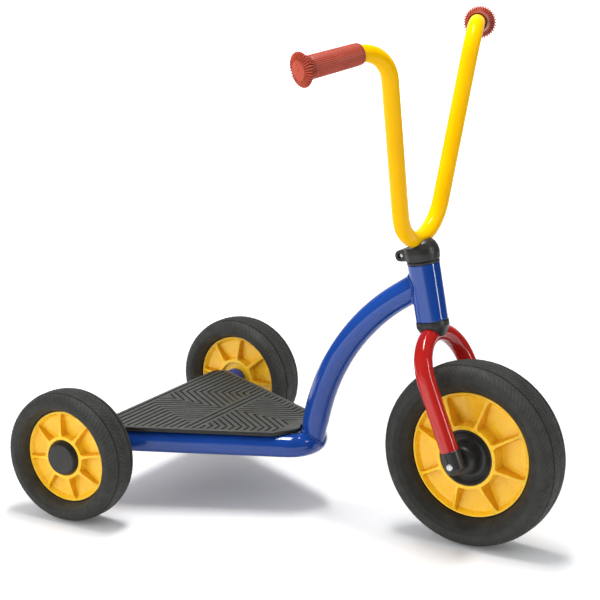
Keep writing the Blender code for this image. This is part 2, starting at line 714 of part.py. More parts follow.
def build_frame():
    deck_path = deck_frame_path()
    legs = add_object("deck_frame_tube", tube_mesh("deck_frame_tube", deck_path, FRAME_TUBE_R,
                                                   TUBE_BEVEL_RESOLUTION), FRAME_BLUE)
    cross_at = Matrix.Translation((REAR_X, 0, REAR_TYRE_R)) @ along_y()
    cope_r = FRAME_TUBE_R + GAP
    cross_cut = add_object("cross_tube_cope", rod_mesh("cross_tube_cope", cope_r, -REAR_MID_Y, REAR_MID_Y,
                                                       COPE_SEGMENTS), None, None, cross_at)
    boolean(legs, cross_cut)

    tube_end = REAR_MID_Y - REAR_FLOOR_OFFSET - BUSH_FLANGE_T - PLUG_FLANGE_T - 3 * GAP
    tube_bore = FRAME_TUBE_R - CROSS_TUBE_WALL
    cross = ring_mesh("rear_cross_tube", FRAME_TUBE_R, tube_bore, -tube_end, tube_end, ROUND_SEGMENTS)
    add_object("rear_cross_tube", cross, FRAME_BLUE, None, cross_at)

    path = main_tube_path()
    main = add_object("main_tube", tube_mesh("main_tube", path, MAIN_TUBE_R, TUBE_BEVEL_RESOLUTION),
                      FRAME_BLUE)
    head_cut = rod_mesh("head_tube_cope", HEAD_TUBE_R + GAP, HEAD_TUBE_BOTTOM - MAIN_TUBE_R,
                        HEAD_TUBE_TOP + MAIN_TUBE_R, COPE_SEGMENTS)
    boolean(main, add_object("head_tube_cope", head_cut, None, STEER))
    foot_cut = add_object("main_foot_cope", tube_mesh("main_foot_cope", deck_path, cope_r,
                                                      TUBE_BEVEL_RESOLUTION), None)
    boolean(main, foot_cut)

    head = ring_mesh("head_tube", HEAD_TUBE_R, HEAD_TUBE_BORE_R, HEAD_TUBE_BOTTOM, HEAD_TUBE_TOP,
                     ROUND_SEGMENTS)
    add_object("head_tube", head, FRAME_BLUE, STEER)

    spigot_r = HEAD_TUBE_BORE_R - GAP
    bore = STEERER_R + GAP
    seat = HEAD_TUBE_TOP + GAP
    flange_r = HEAD_TUBE_R + HEAD_FLANGE_OVER
    upper = [(bore, seat + HEAD_FLANGE_T), (flange_r, seat + HEAD_FLANGE_T), (flange_r, seat),
             (spigot_r, seat), (spigot_r, seat - HEAD_BUSH_DEPTH), (bore, seat - HEAD_BUSH_DEPTH)]
    add_object("upper_head_bush", turned_mesh("upper_head_bush", upper, ROUND_SEGMENTS, closed=True),
               NYLON, STEER)
    low = COLLAR_TOP + GAP
    add_object("lower_head_bush", ring_mesh("lower_head_bush", spigot_r, bore, low, low + HEAD_BUSH_DEPTH,
                                            ROUND_SEGMENTS), NYLON, STEER)


def build_rear_axle():
    base = Matrix.Translation((REAR_X, 0, REAR_TYRE_R))
    end = REAR_MID_Y + REAR_AXLE_END_OFFSET
    add_object("rear_axle", rod_mesh("rear_axle", REAR_AXLE_R, -end, end, SMALL_SEGMENTS), STEEL, None,
               base @ along_y())
    flange_out = REAR_MID_Y - REAR_FLOOR_OFFSET - BUSH_FLANGE_T - 2 * GAP
    flange_in = flange_out - PLUG_FLANGE_T
    spigot_r = FRAME_TUBE_R - CROSS_TUBE_WALL - GAP
    bore = REAR_AXLE_R + GAP
    plug = [(bore, flange_out), (PLUG_FLANGE_R, flange_out), (PLUG_FLANGE_R, flange_in),
            (spigot_r, flange_in), (spigot_r, flange_in - PLUG_SPIGOT_LENGTH),
            (bore, flange_in - PLUG_SPIGOT_LENGTH)]
    nut_in = REAR_MID_Y + REAR_FLOOR_OFFSET + BUSH_FLANGE_T + 2 * GAP
    for side, sign in SIDES:
        plug_name = "axle_plug_" + side
        add_object(plug_name, turned_mesh(plug_name, plug, PLUG_SEGMENTS, closed=True), NYLON, None,
                   base @ along_y(sign))
        nut_name = "push_nut_" + side
        nut = ring_mesh(nut_name, PUSH_NUT_R, bore, nut_in, nut_in + PUSH_NUT_T, SMALL_SEGMENTS)
        add_object(nut_name, nut, STEEL, None, base @ along_y(sign))


# Deck

def deck_half_width(x):
    """Half width of the platform at a station ahead of the rear axle."""
    return DECK_REAR_HALF_W - DECK_SIDE_SLOPE * x


def deck_outline():
    """Left half from the rear corner to the nose, then the right half back."""
    rear = -DECK_REAR_OVERHANG
    corner = Vector((rear, deck_half_width(rear), 0))
    front = Vector((DECK_SIDE_LENGTH, deck_half_width(DECK_SIDE_LENGTH), 0))
    side = fillet_path([(rear, 0, 0), corner, front], [DECK_CORNER_R], CORNER_STEPS)[1:]
    left = side + [Vector((DECK_NOSE_LENGTH, DECK_NOSE_HALF_W, 0))]
    return left + [Vector((p.x, -p.y, 0)) for p in reversed(left)]


def groove_paths():
    """Rows across the deck that turn into a chevron on each side of the middle band."""
    last_row = GROOVE_ROWS - 1
    middle = GROOVE_FIRST + GROOVE_PITCH * last_row / 2
    band_row = last_row // 2
    end_x = GROOVE_FIRST + GROOVE_END_MARGIN
    band_x = middle - GROOVE_PITCH / 2 - GROOVE_BAND_MARGIN
    climb = math.tan((math.pi / 2 - GROOVE_DIAGONAL) / 2)
    slope = math.tan(GROOVE_DIAGONAL)
    paths = []
    for row in (0, band_row):
        x = GROOVE_FIRST + GROOVE_PITCH * row
        half = deck_half_width(x) - GROOVE_MARGIN
        paths.append([Vector((x, -half)), Vector((x, half))])
    for row in range(-1, band_row):
        x = GROOVE_FIRST + GROOVE_PITCH * row
        bend = GROOVE_BEND_START + climb * GROOVE_PITCH * (row - 1)
        tip = x + bend / slope
        for mirrored in (False, True):
            half = [Vector((x, bend))]
            if row > 0:
                station = 2 * middle - x if mirrored else x
                half.insert(0, Vector((x, deck_half_width(station) - GROOVE_MARGIN)))
            else:
                half = [Vector((end_x, bend - slope * (end_x - x)))]
            if tip < band_x:
                path = half + [Vector((tip, 0))] + [Vector((p.x, -p.y)) for p in reversed(half)]
                group = [path]
            else:
                half.append(Vector((band_x, bend - slope * (band_x - x))))
                group = [half, [Vector((p.x, -p.y)) for p in reversed(half)]]
            if mirrored:
                group = [[Vector((2 * middle - p.x, p.y)) for p in path] for path in group]
            paths.extend(group)
    x = GROOVE_FIRST + GROOVE_PITCH * (band_row + 1)
    half = deck_half_width(x) - GROOVE_MARGIN
    paths.append([Vector((x, -half)), Vector((x, half))])
    return paths


def build_deck():
    centre_z = DECK_UNDERSIDE_Z + DECK_T / 2
    deck = add_object("deck_platform", plate_mesh("deck_platform", deck_outline(), DECK_T), DECK_RUBBER, None,
                      Matrix.Translation((REAR_X, 0, centre_z)))
    notch_x = deck_front_x() + MAIN_FOOT_AHEAD + math.tan(MAIN_LEAN) * (centre_z - DECK_TUBE_Z)
    notch = rod_mesh("deck_notch", MAIN_TUBE_R + DECK_NOTCH_CLEARANCE, -DECK_T, DECK_T, NOTCH_SEGMENTS)
    boolean(deck, add_object("deck_notch", notch, None, None, Matrix.Translation((notch_x, 0, centre_z))))
    edge = deck.modifiers.new("Bevel", "BEVEL")
    edge.width = DECK_EDGE_BEVEL
    edge.segments = 1
    edge.limit_method = "ANGLE"
    edge.angle_limit = EDGE_ANGLE
    strips = [plate_mesh("groove", strip_outline(path, GROOVE_W), 2 * GROOVE_DEPTH)
              for path in groove_paths()]
    grooves = add_object("deck_grooves", joined_mesh("deck_grooves", strips), None, None,
                         Matrix.Translation((REAR_X, 0, DECK_TOP_Z)))
    boolean(deck, grooves)

    bearer_top = DECK_UNDERSIDE_Z - GAP
    bearer_z = bearer_top - BEARER_T / 2
    drop = bearer_top - BEARER_T - DECK_TUBE_Z
    clear = math.sqrt((FRAME_TUBE_R + GAP) ** 2 - drop ** 2) / math.cos(DECK_LEG_ANGLE)
    head_low = bearer_top - BEARER_T - GAP - SCREW_HEAD_T
    tip = DECK_UNDERSIDE_Z + SCREW_BITE
    hole = rod_mesh("screw_hole", SCREW_R + GAP, bearer_top - 2 * BEARER_T, tip + GAP, SCREW_SEGMENTS)
    for place, ahead in (("rear", BEARER_REAR_AHEAD), ("front", BEARER_FRONT_AHEAD)):
        x = REAR_X + ahead
        x0, x1 = x - BEARER_W / 2, x + BEARER_W / 2
        y0, y1 = leg_y(x0) - clear, leg_y(x1) - clear
        bar = plate_mesh("deck_bearer_" + place, [(x0, -y0), (x1, -y1), (x1, y1), (x0, y0)], BEARER_T)
        bearer = add_object("deck_bearer_" + place, bar, FRAME_BLUE, None,
                            Matrix.Translation((0, 0, bearer_z)))
        for side, sign in SIDES:
            at = Matrix.Translation((x, sign * (leg_y(x) - SCREW_INSET), 0))
            cutter = add_object("screw_hole_%s_%s" % (place, side), hole.copy(), None, None, at)
            boolean(bearer, cutter)
            boolean(deck, cutter)
            profile = [(0, tip), (SCREW_R, tip), (SCREW_R, head_low + SCREW_HEAD_T),
                       (SCREW_HEAD_R, head_low + SCREW_HEAD_T), (SCREW_HEAD_R - SCREW_HEAD_EDGE, head_low),
                       (0, head_low)]
            name = "deck_screw_%s_%s" % (place, side)
            add_object(name, turned_mesh(name, profile, SCREW_SEGMENTS), STEEL, None, at)


# Steering

def fork_frame():
    """Frame at the hub whose Z runs up the fork's legs to the crown."""
    tilt = math.atan2(FORK_OFFSET, CROWN_H)
    return add_empty("fork_plane", (FORK_OFFSET, 0, 0), (0, -tilt, 0), STEER)


def fork_path(start):
    crown = math.hypot(FORK_OFFSET, CROWN_H)
    r = FORK_HALF_SPACING
    path = [(0, -r, start)]
    for k in range(ARCH_STEPS + 1):
        angle = math.pi * k / ARCH_STEPS
        path.append((0, -r * math.cos(angle), crown - r + r * math.sin(angle)))
    path.append((0, r, start))
    return path


def build_fork(plane):
    path = fork_path(FORK_LEG_END)
    fork = add_object("fork_tube", tube_mesh("fork_tube", path, FORK_TUBE_R, FORK_BEVEL_RESOLUTION),
                      FORK_RED, plane)
    spigot_top = FORK_LEG_END + FORK_END_SPIGOT
    shoulder = FORK_LEG_END - GAP
    body = [(0, spigot_top), (FORK_BORE_R - GAP, spigot_top), (FORK_BORE_R - GAP, shoulder),
            (FORK_END_R, shoulder)]
    for share_r, share_h in FORK_END_NOSE:
        body.append((FORK_END_R * share_r, -FORK_END_BELOW + FORK_END_ROUND * share_h))
    body.append((0, -FORK_END_BELOW))
    axle_cut_r = FRONT_AXLE_R + GAP
    end_w = FORK_HALF_SPACING + FORK_END_R
    hole = rod_mesh("axle_hole", axle_cut_r, -end_w - BLADE_OVER, end_w + BLADE_OVER, SMALL_SEGMENTS)
    axle_hole = add_object("axle_hole", hole, None, plane, along_y())
    for side, sign in SIDES:
        bore = rod_mesh("fork_bore", FORK_BORE_R, FORK_LEG_END - BLADE_OVER, FORK_LEG_END + FORK_BORE_DEPTH,
                        FORK_END_SEGMENTS)
        at = Matrix.Translation((0, sign * FORK_HALF_SPACING, 0))
        boolean(fork, add_object("fork_bore_" + side, bore, None, plane, at))
        end = add_object("fork_end_" + side, turned_mesh("fork_end", body, FORK_END_SEGMENTS), BLACK_PLASTIC,
                         plane, at)
        slab_top = shoulder - FORK_END_COLLAR
        slab_h = slab_top + FORK_END_BELOW + BLADE_OVER
        slab = box_mesh("fork_end_face", (4 * FORK_END_R, 2 * FORK_END_FACE, slab_h),
                        (0, 0, slab_top - slab_h / 2))
        boolean(end, add_object("fork_end_face_" + side, slab, None, plane))
        boolean(end, axle_hole)
        spacer_in = FRONT_FLOOR_OFFSET + BUSH_FLANGE_T + 2 * GAP
        spacer = ring_mesh("front_spacer_" + side, SPACER_R, axle_cut_r, spacer_in, FORK_END_FACE - GAP,
                           SMALL_SEGMENTS)
        add_object("front_spacer_" + side, spacer, STEEL, plane, along_y(sign))
    axle_end = end_w + FRONT_AXLE_PROUD
    add_object("front_axle", rod_mesh("front_axle", FRONT_AXLE_R, -axle_end, axle_end, SMALL_SEGMENTS), STEEL,
               plane, along_y())
    return add_object("fork_cope", tube_mesh("fork_cope", path, FORK_TUBE_R + GAP, FORK_BEVEL_RESOLUTION),
                      None, plane)


def build_collar(fork_cope):
    """Saddle that carries the head bush and straddles the fork's crown."""
    low = COLLAR_TOP - COLLAR_LENGTH
    profile = [
        (0, COLLAR_TOP),
        (COLLAR_NECK_R, COLLAR_TOP),
        (COLLAR_R, COLLAR_TOP - COLLAR_SHOULDER_DROP),
        (COLLAR_R, COLLAR_TOP - COLLAR_BELT_DROP),
        ((COLLAR_R + COLLAR_FOOT_R) / 2, COLLAR_TOP - COLLAR_TAPER_DROP),
        (COLLAR_FOOT_R, low + COLLAR_EDGE),
        (COLLAR_FOOT_R - COLLAR_EDGE, low),
        (0, low),
    ]
    collar = add_object("fork_collar", turned_mesh("fork_collar", profile, ROUND_SEGMENTS), BLACK_PLASTIC,
                        STEER)
    socket = rod_mesh("collar_socket", STEERER_R + GAP, STEERER_FOOT - GAP, COLLAR_TOP + BLADE_OVER,
                      ROUND_SEGMENTS)
    boolean(collar, add_object("collar_socket", socket, None, STEER))
    boolean(collar, fork_cope)

    top = CLAMP_BASE + STEERER_TOP_IN_CLAMP
    steerer = ring_mesh("steerer_tube", STEERER_R, STEERER_R - STEERER_WALL, STEERER_FOOT, top,
                        ROUND_SEGMENTS)
    tube = add_object("steerer_tube", steerer, FORK_RED, STEER)
    boolean(tube, fork_cope)


def bar_path():
    """Half of the handlebar, from the tip to the bottom of the U, then its mirror image."""
    forward = Vector((BAR_FORWARD_SLOPE, BAR_OUTWARD_SLOPE, 1.0))
    half_angle = math.atan(BAR_OUTWARD_SLOPE / math.hypot(1.0, BAR_FORWARD_SLOPE))
    dip = BAR_U_R * (1 / math.sin(half_angle) - 1) / math.hypot(1.0, BAR_FORWARD_SLOPE)
    apex = Vector((-BAR_CENTRE_BACK - BAR_FORWARD_SLOPE * dip, 0, BAR_CENTRE_H - dip))
    corner = apex + forward * (dip + BAR_CORNER_RISE)
    grip = Vector((-math.sin(GRIP_BACK_SWEEP) * math.cos(GRIP_DROP),
                   math.cos(GRIP_BACK_SWEEP) * math.cos(GRIP_DROP), -math.sin(GRIP_DROP)))
    bend_run = BAR_CORNER_R * math.tan(forward.angle(grip) / 2)
    tip = corner + grip * (bend_run + GRIP_LENGTH - GRIP_OVER_BEND)
    corners = [Vector((tip.x, -tip.y, tip.z)), Vector((corner.x, -corner.y, corner.z)), apex, corner, tip]
    path = fillet_path(corners, [BAR_CORNER_R, BAR_U_R, BAR_CORNER_R], BAR_BEND_STEPS)
    return path, tip, grip


def build_handlebar():
    path, tip, grip = bar_path()
    bar = tube_mesh("handlebar", path, BAR_R, BAR_BEVEL_RESOLUTION)
    add_object("handlebar", bar, BAR_YELLOW, STEER)
    cradle = add_object("bar_cope", tube_mesh("bar_cope", path, BAR_R + GAP, BAR_BEVEL_RESOLUTION), None,
                        STEER)

    stem_top = BAR_CENTRE_H - BAR_R / 2
    stem = rod_mesh("handlebar_stem", STEM_R, stem_top - STEM_LENGTH, stem_top, ROUND_SEGMENTS)
    boolean(add_object("handlebar_stem", stem, BAR_YELLOW, STEER), cradle)

    build_clamp(cradle)
    for side, sign in SIDES:
        turn = Vector((grip.x, sign * grip.y, grip.z)).to_track_quat("Z", "X")
        at = Matrix.Translation((tip.x, sign * tip.y, tip.z)) @ turn.to_matrix().to_4x4()
        build_grip("grip_" + side, at)


def build_clamp(cradle):
    """Clamp round the steerer, with a saddle for the bar and a pinch ear behind."""
    top = CLAMP_BASE + CLAMP_HEIGHT
    rear_top = CLAMP_BASE + CLAMP_REAR_HEIGHT
    profile = [
        (0, top),
        (CLAMP_HORN_R - CLAMP_HORN_EDGE, top),
        (CLAMP_HORN_R, top - CLAMP_HORN_EDGE),
        ((CLAMP_HORN_R + CLAMP_BELLY_R) / 2 + CLAMP_WAIST_FLARE, top - CLAMP_WAIST_DROP),
        (CLAMP_BELLY_R, CLAMP_BASE + CLAMP_BELLY_H),
        (CLAMP_BASE_R, CLAMP_BASE + CLAMP_EDGE),
        (CLAMP_BASE_R - CLAMP_EDGE, CLAMP_BASE),
        (0, CLAMP_BASE),
    ]
    clamp = add_object("stem_clamp", turned_mesh("stem_clamp", profile, ROUND_SEGMENTS), BLACK_PLASTIC, STEER)
    ear_at = Matrix.Translation((-CLAMP_EAR_BACK, 0, CLAMP_BASE + CLAMP_EAR_HEIGHT)) @ along_y()
    ear = rod_mesh("clamp_ear", CLAMP_EAR_R, -CLAMP_EAR_HALF_W, CLAMP_EAR_HALF_W, EAR_SEGMENTS)
    boolean(clamp, add_object("clamp_ear", ear, None, STEER, ear_at), "UNION")
    arm_span = CLAMP_EAR_BACK - CLAMP_BASE_R / 2
    arm = box_mesh("clamp_arm", (arm_span, 2 * CLAMP_EAR_HALF_W, 2 * CLAMP_EAR_R),
                   (-CLAMP_EAR_BACK + arm_span / 2, 0, CLAMP_BASE + CLAMP_EAR_HEIGHT))
    boolean(clamp, add_object("clamp_arm", arm, None, STEER), "UNION")

    cut_w = 3 * CLAMP_BELLY_R
    top_cut = box_mesh("clamp_rear_cut", (cut_w, cut_w, CLAMP_HEIGHT),
                       (-cut_w / 2 - BAR_CENTRE_BACK, 0, rear_top + CLAMP_HEIGHT / 2))
    boolean(clamp, add_object("clamp_rear_cut", top_cut, None, STEER))
    steerer_top = CLAMP_BASE + STEERER_TOP_IN_CLAMP + GAP
    bore = [(0, BAR_CENTRE_H), (STEM_R + GAP, BAR_CENTRE_H), (STEM_R + GAP, steerer_top),
            (STEERER_R + GAP, steerer_top), (STEERER_R + GAP, CLAMP_BASE - BLADE_OVER),
            (0, CLAMP_BASE - BLADE_OVER)]
    boolean(clamp, add_object("clamp_bore", turned_mesh("clamp_bore", bore, ROUND_SEGMENTS), None, STEER))
    boolean(clamp, cradle)
    slot_back = CLAMP_EAR_BACK + CLAMP_EAR_R + BLADE_OVER
    slot = box_mesh("clamp_slot", (slot_back, CLAMP_SLOT, CLAMP_HEIGHT * 2),
                    (-slot_back / 2, 0, CLAMP_BASE + CLAMP_HEIGHT / 2))
    boolean(clamp, add_object("clamp_slot", slot, None, STEER))
    hole = rod_mesh("clamp_bolt_hole", CLAMP_BOLT_R + GAP, -CLAMP_EAR_HALF_W - BLADE_OVER,
                    CLAMP_EAR_HALF_W + BLADE_OVER, SMALL_SEGMENTS)
    boolean(clamp, add_object("clamp_bolt_hole", hole, None, STEER, ear_at))
    head_low = CLAMP_EAR_HALF_W + GAP
    head_top = head_low + CLAMP_BOLT_HEAD_T
    bolt = [(0, head_top), (CLAMP_BOLT_HEAD_R - GAP, head_top), (CLAMP_BOLT_HEAD_R, head_top - GAP),
            (CLAMP_BOLT_HEAD_R, head_low), (CLAMP_BOLT_R, head_low),
            (CLAMP_BOLT_R, -CLAMP_EAR_HALF_W + CLAMP_BOLT_RECESS), (0, -CLAMP_EAR_HALF_W + CLAMP_BOLT_RECESS)]
    add_object("clamp_bolt", turned_mesh("clamp_bolt", bolt, SMALL_SEGMENTS), STEEL, STEER, ear_at)


def build_grip(name, at):
    """Tapered sleeve on the bar's tip, closed by a toothed crown flange."""
    floor = GAP
    face = floor + GRIP_END_WALL
    crown = face - GRIP_CROWN_CONE
    inner_end = -GRIP_LENGTH
    neck = crown - GRIP_CROWN_BACK
    half_round = GRIP_END_ROUND * (1 - math.sqrt(0.5))
    profile = [
        (0, face),
        (GRIP_FACE_R, face),
        (GRIP_CROWN_R, crown),
        (GRIP_OUTER_R, neck),
        (GRIP_INNER_R, inner_end + GRIP_END_ROUND),
        (GRIP_INNER_R - half_round, inner_end + half_round),
        (GRIP_INNER_R - GRIP_END_ROUND, inner_end),
        (GRIP_BORE_R + GRIP_MOUTH_FLARE, inner_end),
        (GRIP_BORE_R, inner_end + GRIP_MOUTH_DEPTH),
        (GRIP_BORE_R, floor),
        (0, floor),
    ]
    grip = add_object(name, turned_mesh(name, profile, GRIP_SEGMENTS), GRIP_RED, STEER, at)
    tooth_r = GRIP_CROWN_R + GRIP_TOOTH_H
    root_r = GRIP_BORE_R + GRIP_TOOTH_ROOT
    outline = [(root_r, face - GAP), (tooth_r, crown + GRIP_TOOTH_LIFT), (tooth_r, crown - GRIP_CROWN_T),
               (root_r, neck - GRIP_TOOTH_LIFT)]
    tooth = plate_mesh(name + "_teeth", outline, GRIP_TOOTH_W)
    tooth.transform(Matrix.Rotation(math.pi / 2, 4, "X"))
    teeth = ring_of(tooth, GRIP_TOOTH_COUNT, math.pi / GRIP_TOOTH_COUNT)
    boolean(grip, add_object(name + "_teeth", teeth, None, STEER, at), "UNION")


clear_scene()
PARTS = make_collection("kids_scooter")
CUTTERS = make_collection("cutters")
SIDES = (("left", 1), ("right", -1))

FRAME_BLUE = make_material("frame_blue", (0.011, 0.050, 0.352), 0.22, 0.1)
FORK_RED = make_material("fork_red", (0.552, 0.013, 0.011), 0.20, 0.1)
BAR_YELLOW = make_material("bar_yellow", (1.0, 0.578, 0.0), 0.22, 0.05)
RIM_YELLOW = make_material("rim_yellow", (0.955, 0.434, 0.014), 0.18)
RUBBER = make_material("tyre_rubber", (0.036, 0.037, 0.035), 0.75)
DECK_RUBBER = make_material("deck_rubber", (0.042, 0.042, 0.039), 0.70)
GRIP_RED = make_material("grip_red", (0.552, 0.058, 0.042), 0.55)
BLACK_PLASTIC = make_material("black_plastic", (0.012, 0.012, 0.013), 0.38)
NYLON = make_material("nylon_black", (0.018, 0.018, 0.018), 0.45)
STEEL = make_material("zinc_steel", (0.60, 0.60, 0.58), 0.35, 1.0)

AXIS_FOOT = Vector((FRONT_X - FORK_OFFSET * math.cos(STEER_RAKE), 0,
                    FRONT_TYRE_R - FORK_OFFSET * math.sin(STEER_RAKE)))
STEER = add_empty("steering_axis", AXIS_FOOT, (0, -STEER_RAKE, 0))
bpy.context.view_layer.update()

build_frame()
build_rear_axle()
build_deck()
for wheel_side, wheel_sign in SIDES:
    build_rear_wheel(wheel_side, wheel_sign)
FORK_PLANE = fork_frame()
build_collar(build_fork(FORK_PLANE))
build_front_wheel(add_empty("front_hub", (FORK_OFFSET, 0, 0), (0, STEER_RAKE, 0), STEER))
build_handlebar()
bpy.context.view_layer.update()
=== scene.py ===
"""Finished look of the three-wheel kids scooter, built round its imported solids."""
from math import acos, atan, atan2, copysign, cos, hypot, pi, radians, sin, sqrt, tan

import bmesh
import bpy
from mathutils import Matrix, Vector


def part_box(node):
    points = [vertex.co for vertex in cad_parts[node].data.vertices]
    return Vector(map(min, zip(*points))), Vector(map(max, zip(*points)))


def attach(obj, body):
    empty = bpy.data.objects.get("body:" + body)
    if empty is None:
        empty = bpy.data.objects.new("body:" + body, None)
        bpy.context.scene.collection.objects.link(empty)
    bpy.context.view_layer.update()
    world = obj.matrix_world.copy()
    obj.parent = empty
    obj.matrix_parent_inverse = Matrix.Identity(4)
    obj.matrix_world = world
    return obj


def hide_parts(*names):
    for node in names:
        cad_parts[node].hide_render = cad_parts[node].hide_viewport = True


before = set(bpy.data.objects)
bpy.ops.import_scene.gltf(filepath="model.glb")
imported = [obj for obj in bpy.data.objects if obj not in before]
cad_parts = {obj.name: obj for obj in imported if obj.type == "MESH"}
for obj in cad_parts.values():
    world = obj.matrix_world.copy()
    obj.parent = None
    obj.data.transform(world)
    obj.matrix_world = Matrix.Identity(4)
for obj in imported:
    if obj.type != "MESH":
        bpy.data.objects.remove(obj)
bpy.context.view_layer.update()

TAU = 2 * pi

# Layout of the scooter, metres
REAR_X = -0.2511
FRONT_X = 0.2187
REAR_MID_Y = 0.2015
REAR_R = 0.0850
FRONT_R = 0.1174
RAKE = radians(11.41)
FORK_OFFSET = 0.0307
DECK_TUBE_Z = 0.0884
LEG_ANGLE = radians(25.9)
LEG_SPREAD = 0.1374
LEGS_MEET_X = REAR_X + LEG_SPREAD / tan(LEG_ANGLE)
DECK_BEND_R = 0.0360
TUBE_R = 0.0150
TUBE_BORE_R = 0.0125
TUBE_END = 0.18680
PLUG_FLANGE = 0.18770
MAIN_R = 0.0170
MAIN_FOOT_R = 0.0148
HEAD_R = 0.0202
HEAD_LOW = 0.1709
HEAD_TOP = 0.2423
HEAD_MEETS_TUBE = 0.2202
CROWN_H = 0.1540
COLLAR_TOP = 0.1705
CLAMP_BASE = 0.2465
EAR_BACK = 0.0272
EAR_UP = 0.0078
STEM_SOCKET_R = 0.0128
BAR_H = 0.2735
BAR_R = 0.0105
FORK_R = 0.0116
FORK_HALF = 0.0540
FORK_END_R = 0.0127
LEG_END = 0.0178
AXLE_HOLE_R = 0.0043
TREAD_H = 0.0004
SEAT_GAP = 0.0003

ROUND = 96
RIBS = 8
GRIP_TEETH = 36
SIDES = (("left", 1), ("right", -1))


def side_axis(sign=1):
    """Turns local Z towards the rider's left or right."""
    return Matrix.Rotation(-sign * pi / 2, 4, "X")


foot = Vector((FRONT_X - FORK_OFFSET * cos(RAKE), 0, FRONT_R - FORK_OFFSET * sin(RAKE)))
STEER = Matrix.Translation(foot) @ Matrix.Rotation(-RAKE, 4, "Y")
FORK = STEER @ Matrix.Translation((FORK_OFFSET, 0, 0)) @ Matrix.Rotation(-atan2(FORK_OFFSET, CROWN_H), 4, "Y")
FRONT_HUB = Matrix.Translation((FRONT_X, 0, FRONT_R))
REAR_AXLE = Matrix.Translation((REAR_X, 0, REAR_R))
EAR = Matrix.Translation((-EAR_BACK, 0, CLAMP_BASE + EAR_UP)) @ side_axis()


# Nodes

def feed(tree, socket, value):
    """Sets a socket to a value, or links it to the socket that feeds it."""
    if isinstance(value, bpy.types.NodeSocket):
        tree.links.new(value, socket)
    else:
        socket.default_value = value


def set_up(thing, **settings):
    """Gives a thing its settings and returns it."""
    for key, value in settings.items():
        setattr(thing, key, value)
    return thing


def node(tree, kind, *ordered, how=None, **named):
    """A new node with its settings and its inputs, in order or by name."""
    made = set_up(tree.nodes.new(kind), **(how or {}))
    for socket, value in zip(made.inputs, ordered):
        feed(tree, socket, value)
    for key, value in named.items():
        feed(tree, made.inputs[key.replace("_", " ")], value)
    return made


def value_of(tree, operation, a, b=0.0):
    return node(tree, "ShaderNodeMath", a, b, how={"operation": operation}).outputs[0]


def band(tree, value, edges, levels):
    """A value mapped between two levels."""
    return node(tree, "ShaderNodeMapRange", value, *edges, *levels).outputs[0]


# Finishes

def start_finish(name, colour, roughness, **constants):
    """A material whose constants sit on the shader's own sockets."""
    mat = bpy.data.materials.new(name)
    mat.use_nodes = True
    shader = mat.node_tree.nodes["Principled BSDF"]
    shader.inputs["Base Color"].default_value = (*colour, 1)
    shader.inputs["Roughness"].default_value = roughness
    for key, value in constants.items():
        shader.inputs[key.replace("_", " ")].default_value = value
    mat.diffuse_color = (*colour, 1)
    return mat


def object_noise(tree, scale, detail=3.0, stretch=None):
    """Noise read from object coordinates, in features per metre."""
    place = node(tree, "ShaderNodeTexCoord").outputs["Object"]
    if stretch:
        place = node(tree, "ShaderNodeMapping", Vector=place, Scale=stretch).outputs["Vector"]
    noise = node(tree, "ShaderNodeTexNoise", Vector=place, Scale=scale, Detail=detail, Roughness=0.55)
    return noise.outputs["Fac"]


def vary(mat, socket, low, high, scale, detail=3.0, stretch=None):
    """Lets a socket drift between two colours or two greys."""
    tree = mat.node_tree
    ramp = node(tree, "ShaderNodeValToRGB", object_noise(tree, scale, detail, stretch))
    for element, position, value in zip(ramp.color_ramp.elements, (0.35, 0.65), (low, high)):
        element.position = position
        element.color = (*value, 1) if isinstance(value, tuple) else (value, value, value, 1)
    tree.links.new(ramp.outputs["Color"], tree.nodes["Principled BSDF"].inputs[socket])


def bump(mat, layers, stretch=None):
    """Stacks bumps: each layer is (scale, strength, depth in metres)."""
    tree = mat.node_tree
    below = {}
    for scale, strength, depth in layers:
        height = object_noise(tree, scale, 2.0, stretch)
        made = node(tree, "ShaderNodeBump", Strength=strength, Distance=depth, Height=height, **below)
        below = {"Normal": made.outputs["Normal"]}
    tree.links.new(below["Normal"], tree.nodes["Principled BSDF"].inputs["Normal"])


def enamel(name, low, high, gloss=0.5, coat=0.10):
    """Stoved gloss paint: a slow drift of colour, faint orange peel, clear wet gloss."""
    mat = start_finish(name, high, 0.12, Coat_Weight=coat, Coat_Roughness=0.04, Specular_IOR_Level=gloss)
    vary(mat, "Base Color", low, high, 9.0, 2.0)
    vary(mat, "Roughness", 0.09, 0.14, 60.0)
    bump(mat, [(420.0, 0.05, 0.0003)])
    return mat


def moulded(name, low, high, rough_low, rough_high, grain, depth, **constants):
    """Moulded plastic or rubber: mottled colour, uneven gloss, fine grain."""
    mat = start_finish(name, high, rough_high, **constants)
    vary(mat, "Base Color", low, high, 55.0, 5.0)
    vary(mat, "Roughness", rough_low, rough_high, 130.0)
    bump(mat, [(grain, 0.35, depth), (grain * 0.25, 0.12, depth * 2)])
    return mat


def colour_of(mat):
    """The colour's socket and what feeds it so far."""
    socket = mat.node_tree.nodes["Principled BSDF"].inputs["Base Color"]
    return socket, socket.links[0].from_socket


def dim(mat, share):
    """Multiplies the colour by a share that varies over the piece: painted shade where the share is below one,
    painted light where it is above one.
    """
    socket, colour = colour_of(mat)
    made = node(mat.node_tree, "ShaderNodeVectorMath", colour, how={"operation": "SCALE"}, Scale=share)
    mat.node_tree.links.new(made.outputs[0], socket)


def painted_shading_note(mat):
    """The painted shade or light noted on each point of the piece."""
    return node(mat.node_tree, "ShaderNodeAttribute", how={"attribute_name": "painted_shading"}).outputs["Fac"]


